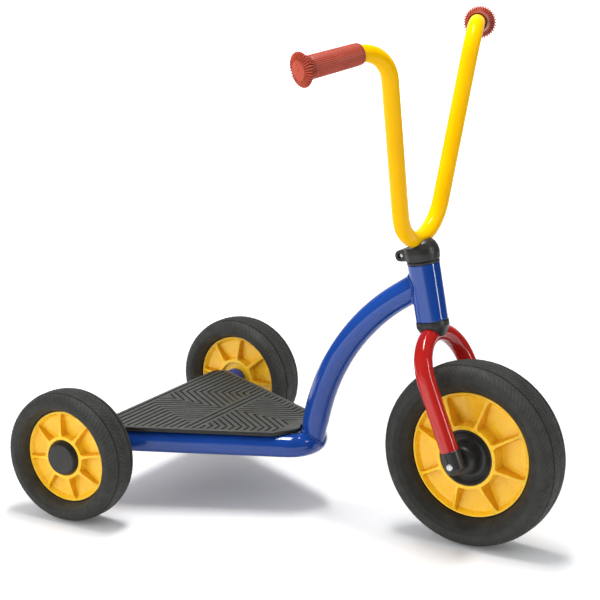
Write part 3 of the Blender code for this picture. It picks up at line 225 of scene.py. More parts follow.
def paint_pocket_shade(mat, deep):
    """Paints shade: a deeper colour on what the note says lies down in a pocket."""
    tree = mat.node_tree
    socket, colour = colour_of(mat)
    blend = node(tree, "ShaderNodeMix", painted_shading_note(mat), how={"data_type": "RGBA"})
    feed(tree, blend.inputs[6], (*deep, 1))
    feed(tree, blend.inputs[7], colour)
    tree.links.new(blend.outputs[2], socket)


def paint_groove_shade(mat, low, high, share):
    """Dims what lies below a level: painted shade in the grooves, under the top."""
    tree = mat.node_tree
    place = node(tree, "ShaderNodeTexCoord").outputs["Object"]
    level = node(tree, "ShaderNodeSeparateXYZ", place).outputs["Z"]
    dim(mat, band(tree, level, (low, high), (share, 1.0)))


BLUE = enamel("blue_enamel", (0.006, 0.044, 0.250), (0.008, 0.054, 0.292))
RED = enamel("red_enamel", (0.400, 0.010, 0.009), (0.460, 0.015, 0.012))
YELLOW = enamel("yellow_enamel", (0.940, 0.485, 0.000), (0.980, 0.540, 0.001), 0.07, 0.04)
RIM_PLASTIC = moulded(
    "rim_plastic", (0.930, 0.530, 0.012), (0.980, 0.575, 0.017), 0.24, 0.34, 2200.0, 0.00003,
    Coat_Weight=0.15, Coat_Roughness=0.12)
# Painted shade: the sides of the rim's ribs take a deep orange, as they look in shade.
paint_pocket_shade(RIM_PLASTIC, (0.86, 0.38, 0.007))
TYRE_RUBBER = moulded(
    "tyre_rubber", (0.025, 0.026, 0.023), (0.036, 0.038, 0.032), 0.58, 0.74, 2600.0, 0.00012,
    Specular_IOR_Level=0.38)
# Painted shade and light: the tyre's colour is scaled by the share noted on each point.
dim(TYRE_RUBBER, painted_shading_note(TYRE_RUBBER))
DECK_RUBBER = moulded("deck_rubber", (0.034, 0.036, 0.030), (0.046, 0.048, 0.040), 0.34, 0.46, 1800.0, 0.00005)
# Painted shade in the deck's grooves.
paint_groove_shade(DECK_RUBBER, 0.10850, 0.10945, 0.12)
GRIP_RUBBER = moulded(
    "grip_rubber", (0.450, 0.058, 0.026), (0.520, 0.076, 0.036), 0.42, 0.56, 2400.0, 0.00006,
    Specular_IOR_Level=0.3)
# Painted shade: the grip's colour is scaled by the share noted on each point.
dim(GRIP_RUBBER, painted_shading_note(GRIP_RUBBER))
BLACK = moulded(
    "black_moulding", (0.017, 0.017, 0.016), (0.026, 0.025, 0.024), 0.30, 0.42, 2600.0, 0.00005,
    Specular_IOR_Level=0.38)
NYLON = moulded("black_nylon", (0.014, 0.014, 0.014), (0.022, 0.022, 0.022), 0.40, 0.52, 2000.0, 0.00005)
ZINC = start_finish("zinc_plate", (0.62, 0.62, 0.60), 0.3, Metallic=1.0)
vary(ZINC, "Base Color", (0.56, 0.56, 0.55), (0.68, 0.68, 0.66), 240.0)
vary(ZINC, "Roughness", 0.24, 0.40, 700.0, stretch=(1.0, 0.08, 1.0))
bump(ZINC, [(1500.0, 0.12, 0.00003)], (1.0, 0.1, 1.0))


# Mesh tools

def within(value, low=0.0, high=1.0):
    return min(max(value, low), high)


def linked(name, data):
    """A new object in the scene."""
    obj = bpy.data.objects.new(name, data)
    bpy.context.scene.collection.objects.link(obj)
    return obj


def mesh_of(work, name="work_mesh", outwards=False):
    """Ends a bmesh in a plain mesh, its faces turned outwards if asked."""
    if outwards:
        bmesh.ops.recalc_face_normals(work, faces=work.faces)
    mesh = bpy.data.meshes.new(name)
    work.to_mesh(mesh)
    work.free()
    return mesh


def smooth(mesh, angle=32):
    """Smooth shading with crisp edges beyond an angle."""
    mesh.shade_smooth()
    mesh.set_sharp_from_angle(angle=radians(angle))
    return mesh


def placed(mesh, matrix):
    """Puts a mesh in its place, its faces outwards if mirrored too."""
    mesh.transform(matrix)
    if matrix.determinant() < 0:
        mesh.flip_normals()
    return mesh


def with_painted_shading(mesh, rule=lambda r, t: 1.0):
    """Notes on each point how much of its colour it keeps, which paints shade or light over the piece."""
    note = mesh.attributes.new("painted_shading", "FLOAT", "POINT")
    for vertex in mesh.vertices:
        note.data[vertex.index].value = rule(hypot(vertex.co.x, vertex.co.y), vertex.co.z)
    return mesh


def held(points, closed, reach=0.0005):
    """Puts a point just inside each end of a long straight run, so that it is shaded flat."""
    out = []
    for i, here in enumerate(points):
        out.append(here)
        if i == len(points) - 1 and not closed:
            break
        run = points[(i + 1) % len(points)] - here
        if run.length > 5 * reach:
            out += [here + run.normalized() * reach, here + run - run.normalized() * reach]
    return out


def eased(points, steps=3, hold=True):
    """Rounds the corners of a profile of (radius, height, corner radius); from axis to axis it is open."""
    out = []
    count = len(points)
    closed = points[0][0] > 0
    for i, (r, h, ease) in enumerate(points):
        here = Vector((r, h))
        last = not closed and i in (0, count - 1)
        if ease <= 0 or last:
            out.append(here)
            continue
        back = Vector(points[i - 1][:2]) - here
        ahead = Vector(points[(i + 1) % count][:2]) - here
        run = min(ease / tan(back.angle(ahead) / 2), back.length * 0.49, ahead.length * 0.49)
        a, b = here + back.normalized() * run, here + ahead.normalized() * run
        for k in range(steps + 1):
            t = k / steps
            out.append(a * (1 - t) ** 2 + here * 2 * t * (1 - t) + b * t * t)
    return [(p.x, p.y) for p in (held(out, closed) if hold else out)]


def sleeve(bore, outer, low, high, edge, bore_edge):
    """The profile of a plain sleeve with rounded ends."""
    return eased([(bore, high, bore_edge), (outer, high, edge), (outer, low, edge), (bore, low, bore_edge)])


def turned(profile, segments=ROUND):
    """Turns a profile of (radius, height) round Z into one closed skin."""
    work = bmesh.new()
    rings = []
    for r, h in profile:
        rings.append([work.verts.new((r * cos(TAU * k / segments), r * sin(TAU * k / segments), h))
                      for k in range(segments if r > 0 else 1)])
    pairs = list(zip(rings, rings[1:]))
    if profile[0][0] > 0:
        pairs.append((rings[-1], rings[0]))
    for low, high in pairs:
        for k in range(segments):
            n = (k + 1) % segments
            face = [low[k % len(low)], low[n % len(low)], high[n % len(high)], high[k % len(high)]]
            work.faces.new(list(dict.fromkeys(face)))
    return smooth(mesh_of(work, outwards=True))


def lofted(rows):
    """A closed skin over rows of points, capped at both ends."""
    work = bmesh.new()
    rows = [[work.verts.new(point) for point in row] for row in rows]
    size = len(rows[0])
    for a, b in zip(rows, rows[1:]):
        for k in range(size):
            n = (k + 1) % size
            work.faces.new((a[k], a[n], b[n], b[k]))
    work.faces.new(rows[0])
    work.faces.new(rows[-1])
    return mesh_of(work, outwards=True)


def box(size, centre):
    work = bmesh.new()
    bmesh.ops.create_cube(work, size=1.0, matrix=Matrix.Translation(centre) @ Matrix.Diagonal((*size, 1)))
    return mesh_of(work)


def rod(radius, low, high, segments=48):
    return turned([(0, high), (radius, high), (radius, low), (0, low)], segments)


def hexagon(radius, depth, height=0.0):
    """A six-sided tool that cuts a screw's socket."""
    work = bmesh.new()
    bmesh.ops.create_cone(work, cap_ends=True, segments=6, radius1=radius, radius2=radius, depth=depth,
                          matrix=Matrix.Translation((0, 0, height)))
    return mesh_of(work)


def polyline(points, closed=False):
    """A mesh of edges only, from point to point."""
    mesh = bpy.data.meshes.new("work_path")
    edges = [(i, i + 1) for i in range(len(points) - 1)]
    if closed:
        edges.append((len(points) - 1, 0))
    mesh.from_pydata([tuple(p) for p in points], edges, [])
    return mesh


def fillet_path(corners, radii, steps):
    """A polyline whose inner corners are rounded to the given radii."""
    path = [Vector(corners[0])]
    for i, radius in enumerate(radii, start=1):
        corner = Vector(corners[i])
        back = (Vector(corners[i - 1]) - corner).normalized()
        ahead = (Vector(corners[i + 1]) - corner).normalized()
        half = back.angle(ahead) / 2
        centre = corner + (back + ahead).normalized() * (radius / sin(half))
        start = corner + back * (radius / tan(half)) - centre
        end = corner + ahead * (radius / tan(half)) - centre
        sweep = start.angle(end)
        for k in range(steps + 1):
            t = k / steps
            path.append(centre + start * (sin((1 - t) * sweep) / sin(sweep))
                        + end * (sin(t * sweep) / sin(sweep)))
    path.append(Vector(corners[-1]))
    return path


def evaluated(obj):
    """The plain mesh that a helper object comes to; the helper is removed."""
    graph = bpy.context.evaluated_depsgraph_get()
    graph.update()
    mesh = bpy.data.meshes.new_from_object(obj.evaluated_get(graph))
    bpy.data.objects.remove(obj)
    return mesh


def cut(mesh, tools, operation="DIFFERENCE"):
    """Cuts or joins with other closed meshes."""
    obj = linked("work_piece", mesh)
    helpers = []
    for tool in tools:
        helpers.append(linked("work_tool", tool))
        set_up(obj.modifiers.new("Cut", "BOOLEAN"), operation=operation, solver="EXACT", object=helpers[-1])
    out = evaluated(obj)
    for helper in helpers:
        bpy.data.objects.remove(helper)
    return out


def softened(mesh, voxel, rounds):
    """Moulded look: an even skin whose edges are relaxed round."""
    obj = linked("work_soft", mesh)
    set_up(obj.modifiers.new("Skin", "REMESH"), mode="VOXEL", voxel_size=voxel)
    set_up(obj.modifiers.new("Relax", "SMOOTH"), factor=0.5, iterations=rounds)
    out = evaluated(obj)
    out.shade_smooth()
    return out


def eased_solid(name, width):
    """A copy of a solid with its outer edges rounded."""
    work = bmesh.new()
    work.from_mesh(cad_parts[name].data)
    bmesh.ops.remove_doubles(work, verts=work.verts, dist=0.00001)
    bmesh.ops.dissolve_limit(work, angle_limit=radians(1), verts=work.verts, edges=work.edges)
    obj = linked("work_ease", mesh_of(work))
    set_up(obj.modifiers.new("Ease", "BEVEL"), width=width, segments=2, limit_method="ANGLE",
           angle_limit=radians(35))
    return smooth(evaluated(obj), 40)


# Geometry Nodes trees

def new_tree(name, sockets):
    """A tree with its named inputs, each with its kind and first value."""
    tree = bpy.data.node_groups.new(name, "GeometryNodeTree")
    for label, kind, value in [("Geometry", "Geometry", None)] + sockets + [("Finish", "Material", None)]:
        socket = tree.interface.new_socket(label, in_out="INPUT", socket_type="NodeSocket" + kind)
        if value is not None:
            socket.default_value = value
    tree.interface.new_socket("Geometry", in_out="OUTPUT", socket_type="NodeSocketGeometry")
    return tree, tree.nodes.new("NodeGroupInput").outputs


def close_tree(tree, geometry, given):
    """Ends a tree in plain meshes with their finish set."""
    real = node(tree, "GeometryNodeRealizeInstances", geometry).outputs[0]
    node(tree, "NodeGroupOutput",
         node(tree, "GeometryNodeSetMaterial", Geometry=real, Material=given["Finish"]).outputs[0])
    return tree


def bar_tree():
    """A round bar along a path, which can carry ripples like those of a weld."""
    tree, given = new_tree("round_bar", [
        ("Radius", "Float", 0.01), ("Sides", "Int", 32), ("Ripple", "Float", 0.0),
        ("Ripple Pitch", "Float", 0.002), ("Spacing", "Float", 0.0)])
    path = node(tree, "GeometryNodeMeshToCurve", given["Geometry"]).outputs[0]
    even = node(tree, "GeometryNodeResampleCurve", how={"mode": "LENGTH"}, Curve=path,
                Length=value_of(tree, "MAXIMUM", given["Spacing"], 0.0004)).outputs[0]
    spaced = value_of(tree, "GREATER_THAN", given["Spacing"])
    chosen = node(tree, "GeometryNodeSwitch", how={"input_type": "GEOMETRY"},
                  **{"Switch": spaced, "False": path, "True": even}).outputs[0]
    length = node(tree, "GeometryNodeSplineParameter").outputs["Length"]
    turns = value_of(tree, "DIVIDE", length, given["Ripple Pitch"])
    wave = value_of(tree, "SINE", value_of(tree, "MULTIPLY", turns, TAU))
    share = value_of(tree, "ADD", value_of(tree, "MULTIPLY", wave, given["Ripple"]), 1.0)
    ring = node(tree, "GeometryNodeCurvePrimitiveCircle", Resolution=given["Sides"], Radius=given["Radius"])
    skin = node(tree, "GeometryNodeCurveToMesh", Curve=chosen, Profile_Curve=ring.outputs[0], Scale=share,
                Fill_Caps=True)
    return close_tree(tree, skin.outputs[0], given)


def ring_tree():
    """Copies of a shape set evenly round the Z axis."""
    tree, given = new_tree("copies_round_axis", [("Count", "Int", 8), ("Start", "Float", 0.0)])
    line = node(tree, "GeometryNodeMeshLine", Count=given["Count"], Offset=(0, 0, 0))
    index = node(tree, "GeometryNodeInputIndex").outputs[0]
    step = value_of(tree, "DIVIDE", TAU, given["Count"])
    angle = value_of(tree, "ADD", value_of(tree, "MULTIPLY", index, step), given["Start"])
    turn = node(tree, "FunctionNodeEulerToRotation", node(tree, "ShaderNodeCombineXYZ", Z=angle).outputs[0])
    copies = node(tree, "GeometryNodeInstanceOnPoints", Points=line.outputs[0], Instance=given["Geometry"],
                  Rotation=turn.outputs[0])
    return close_tree(tree, copies.outputs[0], given)


def spots_tree():
    """One fastener set upright at each given point."""
    tree, given = new_tree("fasteners_at_points", [("Fastener", "Object", None)])
    info = node(tree, "GeometryNodeObjectInfo", Object=given["Fastener"])
    points = node(tree, "GeometryNodeMeshToPoints", Mesh=given["Geometry"])
    copies = node(tree, "GeometryNodeInstanceOnPoints", Points=points.outputs[0],
                  Instance=info.outputs["Geometry"])
    return close_tree(tree, copies.outputs[0], given)


BAR_TREE = bar_tree()
RING_TREE = ring_tree()
SPOTS_TREE = spots_tree()


def grown(mesh, tree, **inputs):
    """The plain result of a tree run on a mesh with its named inputs."""
    obj = linked("work_grown", mesh)
    mod = set_up(obj.modifiers.new(tree.name, "NODES"), node_group=tree)
    named = {item.name.replace(" ", "_").lower(): item.identifier
             for item in tree.interface.items_tree if item.item_type == "SOCKET" and item.in_out == "INPUT"}
    for key, value in inputs.items():
        mod[named[key]] = value
    return evaluated(obj)


def bar(points, radius, finish, sides=48):
    """A smooth tube or rod along a path."""
    mesh = grown(polyline(points), BAR_TREE, radius=radius, sides=sides, finish=finish)
    work = bmesh.new()
    work.from_mesh(mesh)
    bmesh.ops.remove_doubles(work, verts=work.verts, dist=0.000002)
    return smooth(mesh_of(work, outwards=True))


def weld(points, radius=0.0017):
    """A rippled bead laid round a joint of the frame."""
    mesh = grown(polyline(points, True), BAR_TREE, radius=radius, sides=10, ripple=0.20,
                 ripple_pitch=0.0026, spacing=0.0005, finish=BLUE)
    mesh.shade_smooth()
    return mesh


def copies_round(mesh, count, finish, start=0.0):
    return grown(mesh, RING_TREE, count=count, start=start, finish=finish)


def paint(mesh, finish):
    mesh.materials.clear()
    mesh.materials.append(finish)


def piece(name, meshes, finish, body, *nodes):
    """One finished piece, which rides a body and stands for its solids."""
    work = bmesh.new()
    for mesh in meshes:
        work.from_mesh(mesh)
    mesh = smooth(mesh_of(work, name))
    paint(mesh, finish)
    obj = linked(name, mesh)
    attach(obj, body)
    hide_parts(*nodes)


def turned_piece(name, profile, at, finish, body, solid, segments=ROUND):
    """A piece turned round an axis of the scooter."""
    piece(name, [placed(turned(profile, segments), at)], finish, body, solid)


# Frame

def seam_round(origin, direction, radius, reach, count=64):
    """Points where a tube's skin meets a neighbour; reach gives the distance along a line of the skin."""
    direction = direction.normalized()
    across = direction.orthogonal().normalized()
    beside = direction.cross(across)
    points = []
    for k in range(count):
        a = TAU * k / count
        start = origin + (across * cos(a) + beside * sin(a)) * radius
        points.append(start + direction * reach(start, direction))
    return points


def reach_round_bar(base, axis, radius):
    """Distance along a line to the near side of a straight round bar."""
    def reach(start, direction):
        rel = start - base
        d = direction - axis * direction.dot(axis)
        e = rel - axis * rel.dot(axis)
        a, b, c = d.dot(d), 2 * d.dot(e), e.dot(e) - radius * radius
        return (-b - sqrt(max(b * b - 4 * a * c, 0.0))) / (2 * a)
    return reach


def nearest(path, point):
    """The point of a path that lies nearest to a given one."""
    spots = [a.lerp(b, within((point - a).dot(b - a) / (b - a).length_squared)) for a, b in zip(path, path[1:])]
    return min(spots, key=lambda spot: (point - spot).length)


def reach_bent_bar(path, radius, limit):
    """The same for a bent bar, found by halving."""
    def reach(start, direction):
        low, high = 0.0, limit
        for _ in range(26):
            mid = (low + high) / 2
            point = start + direction * mid
            if (point - nearest(path, point)).length > radius:
                low = mid
            else:
                high = mid
        return low
    return reach


def deck_frame_path():
    """The V of the deck frame, bent in front."""
    inset = 0.0080
    end_y = LEG_SPREAD - inset * tan(LEG_ANGLE)
    return fillet_path([(REAR_X + inset, -end_y, DECK_TUBE_Z), (LEGS_MEET_X, 0, DECK_TUBE_Z),
                        (REAR_X + inset, end_y, DECK_TUBE_Z)], [DECK_BEND_R], 28)


def main_tube_path():
    """Leans up from the deck frame, then bends to run straight into the head tube."""
    front = LEGS_MEET_X - DECK_BEND_R * (1 / sin(LEG_ANGLE) - 1)
    low = Vector((front + 0.0002, 0, DECK_TUBE_Z))
    head = STEER @ Vector((0, 0, HEAD_MEETS_TUBE))
    lean, bend, run = radians(9.1), 0.2850, 0.0452
    up = Vector((sin(lean), 0, cos(lean)))
    ahead = Vector((cos(lean), 0, -sin(lean)))
    turn = acos((bend - (head - low).dot(ahead)) / hypot(bend, run)) - atan2(run, bend)
    out = up * cos(turn) + ahead * sin(turn)
    return fillet_path([low, head - out * (run + bend * tan(turn / 2)), head], [bend], 40)


def necked(mesh, path, level, share, length=0.026):
    """Draws a tube in towards its path below a level, ready for the weld."""
    for vertex in mesh.vertices:
        fall = within((level - vertex.co.z) / length)
        if fall > 0:
            vertex.co = nearest(path, vertex.co).lerp(vertex.co, 1 - (1 - share) * fall * fall * (3 - 2 * fall))
    return mesh


def build_frame():
    legs = deck_frame_path()
    cross_at = REAR_AXLE @ side_axis()
    leg_mesh = cut(bar(legs, TUBE_R, BLUE), [placed(rod(TUBE_R + SEAT_GAP, -0.2, 0.2, 72), cross_at)])
    meets_cross = reach_round_bar(REAR_AXLE.translation, Vector((0, 1, 0)), TUBE_R)
    seams = []
    for _, sign in SIDES:
        out = Vector((-cos(LEG_ANGLE), sign * sin(LEG_ANGLE), 0))
        ahead = 0.06
        origin = Vector((REAR_X + ahead, sign * (LEG_SPREAD - ahead * tan(LEG_ANGLE)), DECK_TUBE_Z))
        seams.append(weld(seam_round(origin, out, TUBE_R, meets_cross)))
    piece("deck_frame_legs", [leg_mesh] + seams, BLUE, "frame", "deck_frame_tube")
    turned_piece("rear_tube", sleeve(TUBE_BORE_R, TUBE_R, -TUBE_END, TUBE_END, 0.0006, 0.0004), cross_at, BLUE,
                 "frame", "rear_cross_tube")

    spine = main_tube_path()
    spine_mesh = necked(bar(spine, MAIN_R, BLUE, 56), spine, DECK_TUBE_Z + 0.034, MAIN_FOOT_R / MAIN_R)
    head_tool = placed(rod(HEAD_R + SEAT_GAP, 0.14, 0.27, 72), STEER)
    spine_mesh = cut(spine_mesh, [head_tool, bar(legs, TUBE_R + SEAT_GAP, BLUE)])
    out = (spine[-1] - spine[-2]).normalized()
    meets_head = reach_round_bar(STEER.translation, STEER.col[2].xyz, HEAD_R)
    head_seam = seam_round(spine[-1] - out * 0.05, out, MAIN_R, meets_head)
    down = (spine[0] - spine[1]).normalized()
    foot_run = 0.030
    foot_seam = seam_round(spine[0] - down * foot_run, down, MAIN_FOOT_R, reach_bent_bar(legs, TUBE_R, foot_run))
    piece("main_tube_bend", [spine_mesh, weld(head_seam, 0.0020), weld(foot_seam, 0.0021)], BLUE, "frame",
          "main_tube")

    turned_piece("head_tube_sleeve", sleeve(0.0172, HEAD_R, HEAD_LOW, HEAD_TOP, 0.0007, 0.0003), STEER, BLUE,
                 "frame", "head_tube")
    seat, bore, flange_r, inner_r = HEAD_TOP + SEAT_GAP, 0.0128, 0.0205, 0.0169
    bush = eased([
        (bore, seat + 0.0036, 0.0002), (0.0200, seat + 0.0036, 0.0008), (flange_r, seat + 0.0022, 0.0006),
        (flange_r, seat, 0.0005), (inner_r, seat, 0), (inner_r, seat - 0.015, 0.0003), (bore, seat - 0.015, 0)])
    turned_piece("head_bush_flange", bush, STEER, NYLON, "frame", "upper_head_bush")


# Deck

def screw_mesh(head_r, length):
    """A deck screw with its head down: rounded edge, six-sided socket, plain shank."""
    head_h, shank_r = 0.0025, 0.0019
    profile = eased([
        (0, 0, 0), (head_r * 0.75, 0, 0), (head_r, 0.0011, 0.0008), (head_r, head_h, 0.0002),
        (shank_r, head_h, 0), (shank_r, length, 0), (0, length, 0)])
    return smooth(cut(turned(profile, 32), [hexagon(0.0016, 0.0026)]))


def build_deck():
    piece("standing_deck", [eased_solid("deck_platform", 0.00035)], DECK_RUBBER, "frame", "deck_platform")
    places = ("rear", "front")
    for place in places:
        solid = "deck_bearer_" + place
        piece("bearer_" + place, [eased_solid(solid, 0.0006)], BLUE, "frame", solid)
    names = ["deck_screw_%s_%s" % (place, side) for place in places for side, _ in SIDES]
    boxes = [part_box(name) for name in names]
    low, high = boxes[0]
    screw = linked("work_screw", screw_mesh((high.x - low.x) / 2, high.z - low.z))
    spots = [((a.x + b.x) / 2, (a.y + b.y) / 2, low.z) for a, b in boxes]
    mesh = grown(polyline(spots), SPOTS_TREE, fastener=screw, finish=ZINC)
    bpy.data.objects.remove(screw)
    piece("deck_screws", [mesh], ZINC, "frame", *names)


# Wheels

def tyre_radius(t, radius, half_w, drop):
    """The crown's radius at a distance from the middle."""
    power = 2.4
    share = min(abs(t / half_w), 1.0) ** power
    return radius - drop * (1 - (1 - share) ** (1 / power))


def tread_lug(crown_at, t0, t1, width, lean, steps=5):
    """A slanted bar of tread that follows the crown, its foot sunk in the tyre."""
    sunk = -0.0006
    rows = []
    for k in range(steps + 1):
        share = k / steps
        t = t0 + (t1 - t0) * share
        top = TREAD_H * sin(pi * within(share, 0.06, 0.94)) ** 0.35
        row = []
        for side, lift in ((-0.5, sunk), (-0.36, top), (0.36, top), (0.5, sunk)):
            angle = lean * share + side * width / crown_at(0)
            r = crown_at(t) + lift
            row.append((r * cos(angle), r * sin(angle), t))
        rows.append(row)
    return lofted(rows)


def tyre_meshes(radius, half_w, drop, lip_r, lip_offset, lugs, wall_painted_shading):
    """Carcass with sidewall ribs and tread grooves, then four rows of tread bars."""
    shoulder = radius - drop
    groove, outer = half_w * 0.50, half_w * 0.95
    groove_painted_shade, shoulder_painted_shade = 0.70, 0.92

    def crown_at(t):
        return tyre_radius(t, radius - TREAD_H, half_w, drop - TREAD_H)

    bead_r, bead_t = lip_r + 0.0020, lip_offset + 0.0015
    inside, depth = lip_r + 0.0015, lip_offset - 0.0026
    side = [(lip_r + 0.0003, depth, 0), (inside, depth, 0), (inside, bead_t - 0.0004, 0), (bead_r, bead_t, 0.0003)]
    rib = 0.0005
    for share, lift in ((0.06, 0.0006), (0.14, 0.0006), (0.17, 0), (0.50, 0), (0.78, 0), (0.80, rib), (0.86, rib),
                        (0.88, 0)):
        t = bead_t + (half_w - bead_t) * (1 - (1 - share) ** 2.8)
        side.append((bead_r + (shoulder - bead_r) * share, min(t + lift, half_w), 0.0002))
    stations = [half_w * cos(pi / 2 * k / 12) for k in range(13)]
    tread = [(t, 0.0) for t in stations if abs(t - groove) > 0.0012]
    sink = 0.0011
    tread += [(groove + 0.0009, 0.0), (groove + 0.0005, sink), (groove - 0.0005, sink), (groove - 0.0009, 0.0)]
    tread.sort(reverse=True)
    upper = side + [(crown_at(t) - sunk, t, 0) for t, sunk in tread]
    lower = [(r, -t, e) for r, t, e in reversed(upper[:-1])]
    root_r, root_t = lip_r - 0.0037, 0.0048
    root = [(root_r, -root_t, 0), (root_r, root_t, 0)]
    carcass = turned(eased(upper + lower + root, steps=2, hold=False), 144)

    # Painted shade on the carcass between the tread bars and in the groove, lighter painted shade on the shoulder;
    # the sidewall takes the share given for it, painted shade below one and painted light above one.
    def painted_shade_rule(r, t):
        if r > radius - drop * 0.92 and abs(t) < outer:
            return groove_painted_shade
        return wall_painted_shading if r < shoulder - 0.004 else shoulder_painted_shade

    meshes = [with_painted_shading(carcass, painted_shade_rule)]
    width = TAU * radius / lugs - 0.0011
    for sign, turn in ((1, pi / lugs), (-1, 0.0)):
        for t0, t1, lean, start in (
                (groove + 0.0014, outer, 0.110, 0.0), (0.0010, groove - 0.0014, -0.090, turn)):
            lug = tread_lug(crown_at, sign * t0, sign * t1, width, lean)
            meshes.append(with_painted_shading(copies_round(lug, lugs, TYRE_RUBBER, start)))
    return meshes


def rib_mesh(inner, outer, hub, lip, web, wall_foot):
    """A rib from hub ring to lip: flat top, drafted sides, ends flared into their neighbours."""
    half_w, flare, flare_run = 0.0019, 0.0018, 0.0055
    rows = []
    steps = 22
    for k in range(steps + 1):
        r = inner + (outer - inner) * (1 - cos(pi * k / steps)) / 2
        top = hub[1] + (lip[1] - hub[1]) * within((r - hub[0]) / (lip[0] - hub[0])) - 0.00012
        floor = web + (lip[1] - web) * max(r - wall_foot, 0.0) / (lip[0] - wall_foot)
        floor = min(floor, top - 0.0002)
        near_hub = within(1 - (r - hub[0]) / flare_run)
        near_lip = within(1 - (lip[0] - 0.0012 - r) / flare_run)
        half = half_w + flare * near_hub ** 2 + flare * near_lip ** 2
        tall = top - floor
        foot = half + 0.09 * tall
        section = [(half - 0.0006, top), (half - 0.0002, top - 0.00016), (half, top - 0.0006),
                   (foot, floor + min(0.0016, tall * 0.4)), (foot + 0.0003, floor + min(0.0005, tall * 0.2)),
                   (foot + 0.0010, floor - 0.0002), (foot + 0.0010, 0.0)]
        rows.append([(r, w, t) for w, t in section] + [(r, -w, t) for w, t in reversed(section)])
    return lofted(rows)


def rim_meshes(lip_r, lip_offset, recess_r, hub_offset, floor_offset, phase):
    """Turned rim with its pockets, and the ribs on both faces."""
    web, bore = 0.0050, 0.0095
    hub_r = recess_r + 0.0047
    pocket_r = lip_r - 0.0022
    wall_foot = pocket_r - 0.0038
    upper = [
        (bore, floor_offset, 0.0004), (recess_r, floor_offset, 0.0012), (recess_r, hub_offset, 0.0008),
        (hub_r, hub_offset, 0.0010), (hub_r + 0.0012, web, 0.0012), (wall_foot, web, 0.0012),
        (pocket_r, lip_offset, 0.0007), (lip_r, lip_offset, 0.0005), (lip_r, lip_offset - 0.0014, 0),
        (lip_r - 0.0040, 0.0050, 0)]
    lower = [(r, -t, e) for r, t, e in reversed(upper)]

    # Painted shade: only the tops of the ribs keep the plain colour, and their sides get the deep orange.
    def shade_below_rib_top(r, z):
        top = hub_offset + (lip_offset - hub_offset) * within((r - hub_r) / (pocket_r - hub_r))
        return 1.0 if abs(z) > top - 0.0004 else 0.0

    rib = rib_mesh(recess_r + 0.0020, pocket_r + 0.0010, (hub_r, hub_offset), (pocket_r, lip_offset), web,
                   wall_foot)
    back = placed(rib.copy(), Matrix.Diagonal((1, 1, -1, 1)))
    ribs = [with_painted_shading(copies_round(mesh, RIBS, RIM_PLASTIC, phase), shade_below_rib_top) for mesh in (rib, back)]
    return [with_painted_shading(turned(eased(upper + lower, steps=4), 128))] + ribs


def wheel_phase(degrees):
    """Turns an angle seen from the rider's right, from forward up, into one round the hub's own Z."""
    return -radians(degrees)


def build_wheel(place, solid, hub, body, tyre, rim):
    """Tyre and rim of one wheel, both symmetrical about its middle."""
    for part, meshes, finish in (("tyre", tyre_meshes(*tyre), TYRE_RUBBER), ("rim", rim_meshes(*rim), RIM_PLASTIC)):
        piece(part + "_" + place, [placed(m, hub @ side_axis()) for m in meshes], finish, body, solid % part)


def build_rear_wheels():
    cap_r, cap_low = 0.0228, 0.0120
    cap = eased([
        (0, 0.0235, 0), (0.0185, 0.0235, 0.0009), (0.0204, 0.0218, 0.0009), (cap_r, 0.0167, 0.0020),
        (cap_r, cap_low, 0.0002), (0.0206, cap_low, 0), (0.0182, 0.0210, 0), (0, 0.0213, 0)])
    bush = eased([
        (0.0054, 0.0132, 0.0003), (0.0120, 0.0132, 0.0004), (0.0120, 0.0120, 0.0002), (0.0092, 0.0120, 0),
        (0.0092, 0.0035, 0.0003), (0.0054, 0.0035, 0)])
    bore, flange_low, inner_end = 0.0053, PLUG_FLANGE - 0.0015, PLUG_FLANGE - 0.0165
    plug = eased([
        (bore, PLUG_FLANGE, 0.0003), (0.0145, PLUG_FLANGE, 0.0006), (0.0145, flange_low, 0.0003),
        (0.0122, flange_low, 0), (0.0122, inner_end, 0.0004), (bore, inner_end, 0)])
    for side, sign in SIDES:
        body = "rear_wheel_" + side
        hub = Matrix.Translation((REAR_X, sign * REAR_MID_Y, REAR_R))
        phase = wheel_phase(-2.5 if side == "left" else 11.0)
        build_wheel("rear_" + side, "rear_%s_" + side, hub, body,
                    # The last number paints light on the rear sidewalls.
                    (REAR_R, 0.0270, 0.0145, 0.0588, 0.0098, 84, 1.25),
                    (0.0588, 0.0098, 0.0231, 0.0167, 0.0117, phase))
        turned_piece("hub_cap_" + side, cap, hub @ side_axis(sign), BLACK, body, "rear_hub_cap_" + side)
        turned_piece("inner_bush_" + side, bush, hub @ side_axis(-sign), NYLON, body, "rear_bush_inner_" + side, 64)
        turned_piece("tube_plug_" + side, plug, REAR_AXLE @ side_axis(sign), NYLON, "frame", "axle_plug_" + side,
                     64)


